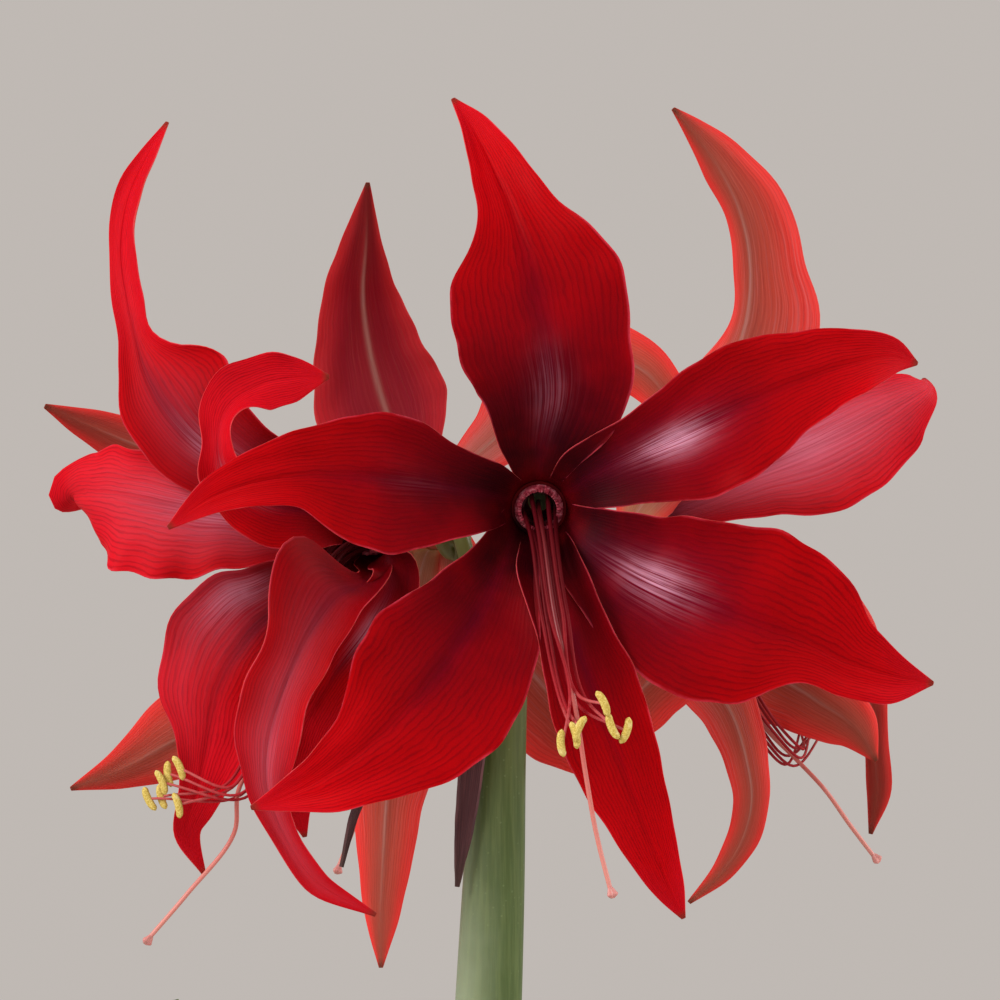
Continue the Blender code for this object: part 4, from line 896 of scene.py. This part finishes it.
# Six tepals, the tube behind them and the toothed fringe inside the throat.
def makePerianth(name, bloom, look, seed):
    grids = []
    for number, (tepal, (clock, stations)) in enumerate(bloom["tepals"].items()):
        traits = {**plainTepal, **tepalTraits[name].get(tepal, {})}
        crimped = {**look, **{key: look[key] * traits["crimp"] for key in ("ruffle", "nibble")}}
        surface, along, across = tepalSurface(bloom, clock, stations, crimped, seed + number * 7)
        # The tepal's painted sheen strength rides in the shade values.
        shell = shellGrids(surface, look["thickness"], along, across, traits["sheen"], look["taper"])
        carried = {key: traits[key] for key in ("tone", "spotAlong", "spotAcross", "wash")}
        grids += [{**grid, **carried, "reach": throatReach[name]} for grid in shell]
    back, front = look["tubeBackRadius"], look["throatRadius"]
    outside = [(back, -look["tubeLength"]), (front - 0.9, -look["tubeLength"] * 0.4), (front, 0.0)]
    inside = [(radius - look["tubeWall"], level) for radius, level in outside[::-1]]
    profile = outside + inside + outside[:1]
    ring = axisRing(bloom, profile, look["tubeSegments"])
    outer = np.array([1, 1, 0, 0, 0, 0, 1.0])[:, None]
    grids.append({"points": ring, "closed": True, "along": 0.02, "across": 0.6, "outer": outer,
                  "reach": 1.0})
    fringe = [(front - 1.0, -1.8), (front - 0.7, 0.6), (front - 1.6, 2.4), (front - 2.3, 2.3),
              (front - 1.9, 0.4), (front - 1.5, -1.9), (front - 1.0, -1.8)]
    teeth = axisRing(bloom, fringe, look["fringeSegments"], slice(2, 4), look["fringeRagged"])
    grids.append({"points": teeth, "closed": True, "slot": 1})
    piece = gridMesh(f"perianthSkin_{name}", placeHead(grids), [tepalSkin, fringeFinish])
    finishPiece(piece, f"perianth_{name}")


stamenLook = {
    "collarRadius": 4.6,
    "collarWall": 1.1,
    "collarDepth": 2.5,      # from the throat back to the collar's middle
    "collarHalf": 1.2,       # half of the collar's height
    "bundleSpread": 0.75,    # how much of their spacing the filaments keep beyond the throat
    "filamentRadius": 0.52,
    "antherLength": 6.4,
    "antherRadius": 0.82,
    "antherBow": 0.45,
    "lobeDepth": 0.14,
    "collarSegments": 32,
    "filamentSides": 10,
    "filamentRows": 60,
    "antherSides": 16,
    "antherRows": 22,
}


# A vector square to one direction, turned the short way so that it is square to each new direction.
def turnedShort(vector, old, new):
    both = old + new
    share = (new @ vector) / (1 + new @ old)
    return vector - both * share[:, None]


# Six filaments from a collar in the throat, each with a curved pollen sac across its tip.
def makeStamens(name, bloom, look):
    facing, up, rightWay = bloomAxes(bloom)
    collarMiddle = np.array(bloom["throat"], float) - facing * look["collarDepth"]
    grids = []
    radius, wall = look["collarRadius"], look["collarWall"]
    low, high = -look["collarDepth"] - look["collarHalf"], -look["collarDepth"] + look["collarHalf"]
    collar = [(radius, low), (radius, high), (radius - wall, high), (radius - wall, low), (radius, low)]
    grids.append({"points": axisRing(bloom, collar, look["collarSegments"]), "closed": True, "along": 0.0})
    route = np.array(bloom["filaments"], float)
    for number, (top, bottom) in enumerate(bloom["anthers"]):
        angle = number * math.pi / 3 + math.pi / 6
        spread = (math.cos(angle) * up + math.sin(angle) * rightWay) * (radius - wall / 2)
        top, bottom = np.array(top, float), np.array(bottom, float)
        middle = (top + bottom) / 2
        offset = turnedShort(spread, facing, unit(np.gradient(route, axis=0)))
        points = np.vstack([collarMiddle + spread, route + offset * look["bundleSpread"], middle])
        radii = np.linspace(look["filamentRadius"] * 1.15, look["filamentRadius"] * 0.6, len(points))
        grids.append(rodGrid(points, radii, look["filamentSides"], look["filamentRows"]))
        half = unit(top - bottom) * look["antherLength"] / 2
        bow = unit(np.cross(half, [0.3, 1.0, 0.2])) * look["antherBow"] * (1 if number % 2 else -1)
        ends = [middle - half, middle - half * 0.9, middle - half * 0.5 + bow * 0.7, middle + bow,
                middle + half * 0.5 + bow * 0.7, middle + half * 0.9, middle + half]
        widths = np.array([0.15, 0.55, 0.95, 1.0, 0.95, 0.55, 0.15]) * look["antherRadius"]
        sac = rodGrid(ends, widths, look["antherSides"], look["antherRows"], 2, look["lobeDepth"])
        sac["slot"] = 1
        grids.append(sac)
    piece = gridMesh(f"stamenSet_{name}", placeHead(grids), [filamentFinish, antherFinish])
    finishPiece(piece, f"stamens_{name}")


pistilLook = {"radius": 0.55, "stigmaRadius": 1.15, "foot": 0.2, "sides": 12, "rows": 110,
              "stigmaSides": 24, "stigmaRows": 14, "lobeDepth": 0.28}


# The style runs from the ovary out of the throat; its stigma is a knob of three short lobes.
def makePistil(name, bloom, look, tubeLength):
    facing = bloomAxes(bloom)[0]
    throat = np.array(bloom["throat"], float)
    foot = throat - facing * (tubeLength - look["foot"])
    points = np.vstack([foot, throat, bloom["filaments"], bloom["style"]])
    grids = [rodGrid(points, [look["radius"]] * len(points), look["sides"], look["rows"])]
    tip, onward = points[-1], unit(points[-1] - points[-2])
    knob = [tip - onward * 1.4, tip - onward * 0.4, tip + onward * 0.5, tip + onward * 1.2]
    widths = np.array([0.45, 0.8, 1.0, 0.35]) * look["stigmaRadius"]
    stigma = rodGrid(knob, widths, look["stigmaSides"], look["stigmaRows"], 3, look["lobeDepth"])
    stigma["along"] = stigma["along"] * 0 + 1.0
    piece = gridMesh(f"styleAndStigma_{name}", placeHead(grids + [stigma]), [styleFinish])
    finishPiece(piece, f"pistil_{name}")


pedicelLook = {"radius": 2.1, "ovaryLength": 12.0, "ovaryRadius": 4.4, "gap": 0.35, "sides": 36,
               "rows": 60, "lobeDepth": 0.06}


# One bloom's stalk swells into the three-lobed ovary behind the tube.
def makePedicel(name, bloom, look, tubeLength):
    facing = bloomAxes(bloom)[0]
    top = np.array(bloom["throat"], float) - facing * (tubeLength + look["gap"])
    swelling = [top - facing * look["ovaryLength"] * part for part in (0.8, 0.4, 0)]
    points = np.vstack([bloom["pedicel"], swelling])
    radii = [look["radius"]] * len(bloom["pedicel"])
    radii += [look["ovaryRadius"] * 0.8, look["ovaryRadius"], look["ovaryRadius"] * 0.7]
    grid = rodGrid(points, radii, look["sides"], look["rows"], 3, look["lobeDepth"])
    piece = gridMesh(f"flowerStalk_{name}", placeHead([grid]), [stalkFinish])
    finishPiece(piece, f"pedicel_{name}")


for number, (name, bloom) in enumerate(blooms.items()):
    makePerianth(name, bloom, tepalLook, 11 + 50 * number)
    makeStamens(name, bloom, stamenLook)
    makePistil(name, bloom, pistilLook, tepalLook["tubeLength"])
    makePedicel(name, bloom, pedicelLook, tepalLook["tubeLength"])
    print("stage: bloom", name)


# The stalk: a smooth round rod with very shallow ribs, from just under the flower stalks to the bulb.
# Each place is x, y, z and radius.
scapeRoute = [(0, 0, 0, 6.3), (-1.1, 0, -30, 6.8), (-2.3, 0, -60, 7.7), (-3.6, 0, -90, 8.3),
              (-6.2, 0, -150, 8.8), (-9.4, 0, -240, 9.3), (-12.75, 0, -361, 9.5)]
scapeLook = {"sides": 72, "rows": 120, "ribs": 18, "ribDepth": 0.004}
scapeTable = np.array(scapeRoute, float)[::-1]
scapeGrid = rodGrid(scapeTable[:, :3], scapeTable[:, 3], scapeLook["sides"], scapeLook["rows"],
                    scapeLook["ribs"], scapeLook["ribDepth"])
finishPiece(gridMesh("greenStalk", placeHead([scapeGrid]), [stalkFinish]), "scape")

bractLook = {"rows": 40, "columns": 13, "thickness": 0.7, "ruffle": 0.5, "ruffleCount": 4.0,
             "ribDepth": 0.1, "swell": 0.25, "nibble": 0.02}
# A bract's stations are those of a tepal.
bractLines = {
    "front": [(-5.6, -4.6, 0, 0, 2, 2, 60), (-7, -6.2, -14, 0, 3.4, 3.4, 60),
              (-8, -7.4, -32, 0, 2.9, 2.9, 60), (-9.8, -8, -48, 0, 2, 2, 50),
              (-11.4, -8, -61, 0, 0.5, 0.5, 20)],
    "back": [(-7.4, 3.8, 0, 0, 2, 2, 50), (-17, 8, -9, 20, 3, 3, 60), (-29, 8, -24, 40, 2.4, 2.4, 60),
             (-37, 5, -42, 50, 1.6, 1.6, 50), (-40.5, 3, -57, 50, 0.5, 0.5, 20)],
}
for number, (name, line) in enumerate(bractLines.items()):
    table = np.array(line, float)
    sides = stationSides(table[:, :3], table[:, 3])
    surface, along, across = bladeSurface(table[:, :3], sides, *table[:, 4:].T, bractLook, 400 + number)
    grids = placeHead(shellGrids(surface, bractLook["thickness"], along, across))
    finishPiece(gridMesh(f"bract_{name}", grids, [bractFinish]), f"spathe_valve_{name}")
print("stage: stalk and bracts")


# Sizes below are millimetres from the middle of the pot's underside.
bulbLook = {
    "centreX": -6.0,
    "footLevel": 74.0,
    "neckRadius": 17.0,
    "neckLevel": 178.0,
    "neckRim": 1.6,
    "shelfLevel": 171.0,
    "socketRadius": 10.2,
    "socketLevel": 158.0,
    "segments": 160,
    "rows": 70,
    "ribHeight": 0.35,
    "skinGap": 0.25,
    "flakeRows": 40,
    "flakeColumns": 30,
    "flakeThickness": 0.25,
}
# Loose flakes of the bulb's skin: azimuth, spread in degrees, lower and upper share of the bulb's height.
flakes = [(200, 58, 0.50, 0.93), (262, 46, 0.46, 0.80), (318, 62, 0.55, 0.97), (20, 50, 0.48, 0.86),
          (86, 60, 0.52, 0.95), (146, 44, 0.47, 0.82)]
leafLook = {"rows": 110, "columns": 25, "thickness": 1.7, "ruffle": 0.5, "ruffleCount": 2.0,
            "ribDepth": 0.5, "swell": 0.5, "nibble": 0.0, "ringRadius": 12.9, "gap": 0.35,
            "sheath": 12.0, "footHalf": 8.0, "sheathHalf": 8.6}
# Each leaf: azimuth, places of its middle vein after the sheath, half-width, and turn at the tip.
leaves = {
    "left": (180, [(-32, 0, 250), (-47, 1, 320), (-62, 1, 385), (-75.3, 0, 430)], 15, 20),
    "right": (0, [(24, -2, 245), (56, -6, 310), (96, -12, 345), (138, -18, 336)], 16, 15),
    "back": (90, [(-2, 34, 250), (8, 58, 320), (22, 88, 366), (38, 124, 372)], 16, -15),
    "front": (270, [(-12, -34, 235), (-22, -62, 285), (-36, -98, 306), (-50, -132, 286)], 15, 15),
}


# A leaf stands on the bulb's shelf, curved round the stalk, and arches out to its tip.
def makeLeaf(name, azimuth, route, halfWidth, tipTurn, look, bulb, seed):
    angle = math.radians(azimuth)
    outward = np.array([math.cos(angle), math.sin(angle), 0.0])
    tangent = np.array([math.sin(angle), -math.cos(angle), 0.0])
    foot = np.array([bulb["centreX"], 0, bulb["shelfLevel"] + look["gap"]]) + outward * look["ringRadius"]
    points = np.vstack([foot, foot + [0, 0, look["sheath"]], route])
    turns = np.radians(np.linspace(0, tipTurn, len(points)))[:, None]
    sides = np.cos(turns) * tangent + np.sin(turns) * outward
    places = chordPlaces(points)
    halves = [look["footHalf"], look["sheathHalf"], halfWidth, halfWidth * 0.92, halfWidth * 0.5, 0.6]
    widths = np.interp(places, [0, 0.07, 0.35, 0.7, 0.9, 1], halves)
    cup = np.interp(places, [0, 0.07, 0.35, 1], [37, 37, 22, 14])
    surface, along, across = bladeSurface(points, sides, widths, widths, cup, look, seed)
    grids = placeGrids(shellGrids(surface, look["thickness"], along, across, seed * 0.37 % 1.0))
    finishPiece(gridMesh(f"strapLeaf_{name}", grids, [leafFinish]), f"leaf_{name}")


for number, (name, (azimuth, route, halfWidth, tipTurn)) in enumerate(leaves.items()):
    makeLeaf(name, azimuth, route, halfWidth, tipTurn, leafLook, bulbLook, 500 + number)
print("stage: leaves")


# The bulb's outline from its foot to its neck, as (radius, level).
def bulbOutline(look):
    return [(0, look["footLevel"]), (18, 76), (32, 86), (38.5, 100), (40, 114), (38, 130), (32, 144),
            (24, 156), (19, 166), (look["neckRadius"], 174), (look["neckRadius"] - 0.8, look["neckLevel"])]


# A loose flake lies over the bulb, its radius a little more than the bulb's, its torn upper edge and its
# sides lifted.
def flakeGrids(look, outline, number, azimuth, spread, low, high, shade):
    rows, columns = look["flakeRows"], look["flakeColumns"]
    height = look["neckLevel"] - look["footLevel"]
    w = np.linspace(0, 1, rows)[:, None]
    v = np.linspace(-1, 1, columns)[None]
    tear = 0.05 * np.sin(v * 9 + number) + 0.04 * np.sin(v * 23 + number * 2)
    share = low + (high - low) * w + tear * w
    level = look["footLevel"] + height * share
    narrowing = 1 - 0.25 * w + 0.05 * np.sin(w * 17 + number)
    turn = np.radians(azimuth + spread * 0.5 * v * narrowing)
    lifted = 0.35 + 1.5 * abs(v) ** 6 * w + 1.3 * w ** 8 + 0.25 * ripple(rows, columns, 70 + number)
    radius = np.interp(level, outline[:, 1], outline[:, 0]) + np.clip(lifted, 0.25, 3)
    x = look["centreX"] + radius * np.cos(turn)
    points = np.stack([x, radius * np.sin(turn), level + 0 * v], axis=-1)
    return shellGrids(points, look["flakeThickness"], share.clip(0, 1) + 0 * v, turn / fullTurn, shade)


# The bulb is turned from its outline, with shallow ribs, a shelf for the leaves and a socket for the
# stalk.
def makeBulb(look):
    outline = np.array(bulbOutline(look), float)
    shelfRadius = look["neckRadius"] - look["neckRim"] - 0.6
    inner = [(shelfRadius, look["neckLevel"]), (shelfRadius, look["shelfLevel"]),
             (look["socketRadius"], look["shelfLevel"]), (look["socketRadius"], look["socketLevel"]),
             (0, look["socketLevel"])]
    smoothOutline = smooth(outline, chordPlaces(outline), np.linspace(0, 1, look["rows"]))
    skin = turnedGrid(np.vstack([smoothOutline, inner]), look["segments"], look["centreX"])
    angles = skin["across"] * fullTurn
    ribs = np.sin(angles * 23 + 2 * skin["along"]) * 0.5 + np.sin(angles * 57) * 0.3
    sunk = look["skinGap"] + abs(ribs * look["ribHeight"])
    sunk[look["rows"]:] = 0
    outward = skin["points"] - np.array([look["centreX"], 0, 0])
    outward[..., 2] = 0
    skin["points"] = skin["points"] - unit(outward) * sunk[..., None]
    height = look["neckLevel"] - look["footLevel"]
    skin["along"] = np.clip((skin["points"][..., 2] - look["footLevel"]) / height, 0, 1)
    grids = [skin]
    random = np.random.default_rng(7)
    for number, flake in enumerate(flakes):
        grids += flakeGrids(look, outline, number, *flake, float(random.uniform()))
    finishPiece(gridMesh("bulbInSkin", placeGrids(grids), [tunicFinish]), "bulb")


makeBulb(bulbLook)

soilLook = {"level": 127.0, "edgeRadius": 64.0, "pocketRadius": 38.9, "bulbX": -6.0, "rows": 60,
            "columns": 220, "rise": 0.6, "humps": 1.76, "depth": 6.0, "crumbs": 1100, "paleGrains": 60}


# Crumbs: rough seven-sided balls with seeded sizes and places, laid on the soil around the bulb.
def crumbGrids(look, count, sizes, shade, seed):
    random = np.random.default_rng(seed)
    angle = random.uniform(0, fullTurn, count)
    nearest, farthest = look["pocketRadius"] + 3, look["edgeRadius"] - 2.5
    distance = np.sqrt(random.uniform(nearest ** 2, farthest ** 2, count))
    size = random.uniform(*sizes, count)
    x, y = distance * np.cos(angle), distance * np.sin(angle)
    clear = np.hypot(x - look["bulbX"], y) > look["pocketRadius"] + size + 0.6
    grids = []
    turn = np.linspace(0, fullTurn, 8)[:-1]
    rise = np.linspace(-math.pi / 2, math.pi / 2, 5)[:, None]
    ball = np.stack([np.cos(rise) * np.cos(turn), np.cos(rise) * np.sin(turn), np.sin(rise) + 0 * turn],
                    axis=-1)
    for number in np.flatnonzero(clear):
        rough = 1 + random.uniform(-0.28, 0.28, ball.shape[:2])
        rough[0], rough[-1] = 1, 1
        stretch = random.uniform(0.6, 1.2, 3)
        centre = [x[number], y[number], look["level"] + 1.0 + size[number] * 0.35]
        points = ball * rough[..., None] * stretch * size[number] + centre
        grids.append({"points": points, "closed": True, "shade": shade})
    return grids


# Soil: a disc between the bulb and the pot's wall, humped by slow ripples, with crumbs on top.
def makeSoil(look):
    rows, columns = look["rows"], look["columns"]
    turn = np.arange(columns) * fullTurn / columns
    share = np.linspace(0, 1, rows)[:, None]
    spoke = np.stack([np.cos(turn), np.sin(turn)], axis=-1)
    edge = look["edgeRadius"] * spoke
    pocket = look["pocketRadius"] * spoke + [look["bulbX"], 0]
    flat = pocket[None] + (edge - pocket)[None] * share[..., None]
    bumps = ripple(rows, columns, 3, 14, 9.0) * np.sin(share * math.pi).clip(min=0.15)
    level = look["level"] + look["rise"] + bumps * look["humps"]
    top = np.concatenate([flat, level[..., None]], axis=-1)
    low = np.concatenate([flat[::-1], np.full((rows, columns, 1), look["level"] - look["depth"])], axis=-1)
    shell = np.concatenate([top, low, top[:1]])
    grids = [{"points": shell, "closed": True, "flip": True}]
    grids += crumbGrids(look, look["crumbs"], (0.7, 2.3), 0.0, 21)
    grids += crumbGrids(look, look["paleGrains"], (0.6, 1.5), 0.9, 22)
    finishPiece(gridMesh("soilTop", placeGrids(grids), [soilFinish]), "soil")


makeSoil(soilLook)

potLook = {"height": 140.0, "topRadius": 72.0, "baseRadius": 51.0, "wall": 6.0, "floor": 8.0,
           "rimHeight": 26.0, "rimOverhang": 5.0, "softening": 2.6, "segments": 200,
           "drainHoles": 3, "drainTurn": 30, "drainRadius": 4.5, "drainRing": 27.0, "drainSides": 40}


# An outline with each inner corner cut: a point a little before it, one near it and one a little after.
def softened(outline, reach):
    outline = np.asarray(outline, float)
    before, here, after = outline[:-2], outline[1:-1], outline[2:]
    back, on = before - here, after - here
    near = np.minimum(np.linalg.norm(back, axis=1), np.linalg.norm(on, axis=1))[:, None] * 0.45
    cut = np.minimum(near, reach)
    start, end = here + unit(back) * cut, here + unit(on) * cut
    middle = here * 0.5 + (start + end) * 0.25
    inner = np.stack([start, middle, end], axis=1).reshape(-1, 2)
    return np.vstack([outline[:1], inner, outline[-1:]])


# The pot keeps the model's outline, turned finely, with its edges softened; its floor's drainage holes
# are cut as in the model.
def makePot(look):
    rimRadius = look["topRadius"] + look["rimOverhang"]
    underRim = look["height"] - look["rimHeight"]
    innerBase, innerTop = look["baseRadius"] - look["wall"], look["topRadius"] - look["wall"] + 2
    outline = [(0, 0), (look["baseRadius"], 0), (look["topRadius"] - 3, underRim),
               (rimRadius - 0.2, underRim + 0.6), (rimRadius, look["height"]), (innerTop, look["height"]),
               (innerBase, look["floor"]), (0, look["floor"])]
    grids = placeGrids([turnedGrid(softened(outline, look["softening"]), look["segments"])])
    pot = gridMesh("clayPot", grids, [clayFinish])
    below, above = -5, look["floor"] + 5
    drill = [(0, below), (look["drainRadius"], below), (look["drainRadius"], above), (0, above)]
    cutters = []
    for number in range(look["drainHoles"]):
        angle = math.radians(look["drainTurn"]) + fullTurn * number / look["drainHoles"]
        grid = turnedGrid(drill, look["drainSides"])
        grid["points"][..., :2] += look["drainRing"] * np.array([math.cos(angle), math.sin(angle)])
        cutters.append(gridMesh(f"drainDrill{number}", placeGrids([grid]), [clayFinish]))
        cut = pot.modifiers.new(f"drain{number}", "BOOLEAN")
        cut.object, cut.operation = cutters[-1], "DIFFERENCE"
    graph = bpy.context.evaluated_depsgraph_get()
    mesh = bpy.data.meshes.new_from_object(pot.evaluated_get(graph))
    pot.modifiers.clear()
    pot.data = mesh
    for cutter in cutters:
        bpy.data.objects.remove(cutter)
    finishPiece(pot, "pot")


makePot(potLook)
print("stage: bulb, soil and pot")

studio = {
    "cameraX": 0.006,
    "cameraHeight": 0.555,
    "cameraDistance": 1.1,
    "frameWidth": 0.25,
    "sensorWidth": 36.0,
    "floorReach": 3.4,
    "floorDrop": 0.0005,
    "worldTint": (1.05, 0.97, 0.91, 1),
    "worldStrength": 0.5,
    "lightAim": (0.0, 0.0, 0.55),
    # each light: place, size, power, tint
    "lights": {
        "keyLight": ((-1.1, -0.75, 1.3), 0.7, 20.0, (1.0, 0.98, 0.95)),
        "fillLight": ((0.5, -1.5, 0.75), 0.9, 4.5, (0.96, 0.98, 1.0)),
        "sideLight": ((1.15, 0.05, 1.0), 0.6, 10.0, (1.0, 0.99, 0.97)),
    },
}


# A round soft light that points at the aim.
def addLight(name, place, size, power, tint, aim):
    light = bpy.data.lights.new(name, "AREA")
    light.shape, light.size, light.energy, light.color = "DISK", size, power, tint
    lamp = bpy.data.objects.new(name, light)
    bpy.context.scene.collection.objects.link(lamp)
    lamp.location = place
    x, y, z = np.array(aim, float) - np.array(place, float)
    lamp.rotation_euler = (math.atan2(np.hypot(x, y), -z), 0, math.atan2(y, x) - math.pi / 2)


# A plain pale floor; the pale sky stands for the wall behind the plant.
def makeFloor(look):
    edge = np.array([-look["floorReach"], look["floorReach"]])
    x, y = np.meshgrid(edge, edge)
    points = np.stack([x, y, x * 0 - look["floorDrop"]], axis=-1)
    paper = Finish("palePaper", {"Roughness": 0.9, "Specular IOR Level": 0.1})
    cloud = paper.noise(paper.place(), 1.2, 2.0)
    paper.set("Base Color", paper.mix(cloud, colour(0.58, 0.54, 0.50), colour(0.62, 0.58, 0.54)))
    floor = gridMesh("paleFloor", [{"points": points}], [paper.material])


# The camera looks level along +Y; the frame's width is what it sees at the stalk.
def setStage(look):
    scene = bpy.context.scene
    makeFloor(look)
    camera = bpy.data.cameras.new("viewCamera")
    camera.sensor_width = look["sensorWidth"]
    camera.lens = look["sensorWidth"] * look["cameraDistance"] / look["frameWidth"]
    camera.clip_end = 20.0
    viewer = bpy.data.objects.new("viewCamera", camera)
    scene.collection.objects.link(viewer)
    viewer.location = (look["cameraX"], -look["cameraDistance"], look["cameraHeight"])
    viewer.rotation_euler = (math.pi / 2, 0, 0)
    scene.camera = viewer
    for name, settings in look["lights"].items():
        addLight(name, *settings, look["lightAim"])
    world = bpy.data.worlds.new("paleWorld")
    world.use_nodes = True
    sky = world.node_tree.nodes["Background"]
    sky.inputs[0].default_value = look["worldTint"]
    sky.inputs[1].default_value = look["worldStrength"]
    scene.world = world
    scene.view_settings.view_transform = "Standard"


setStage(studio)
print("stage: camera and light")
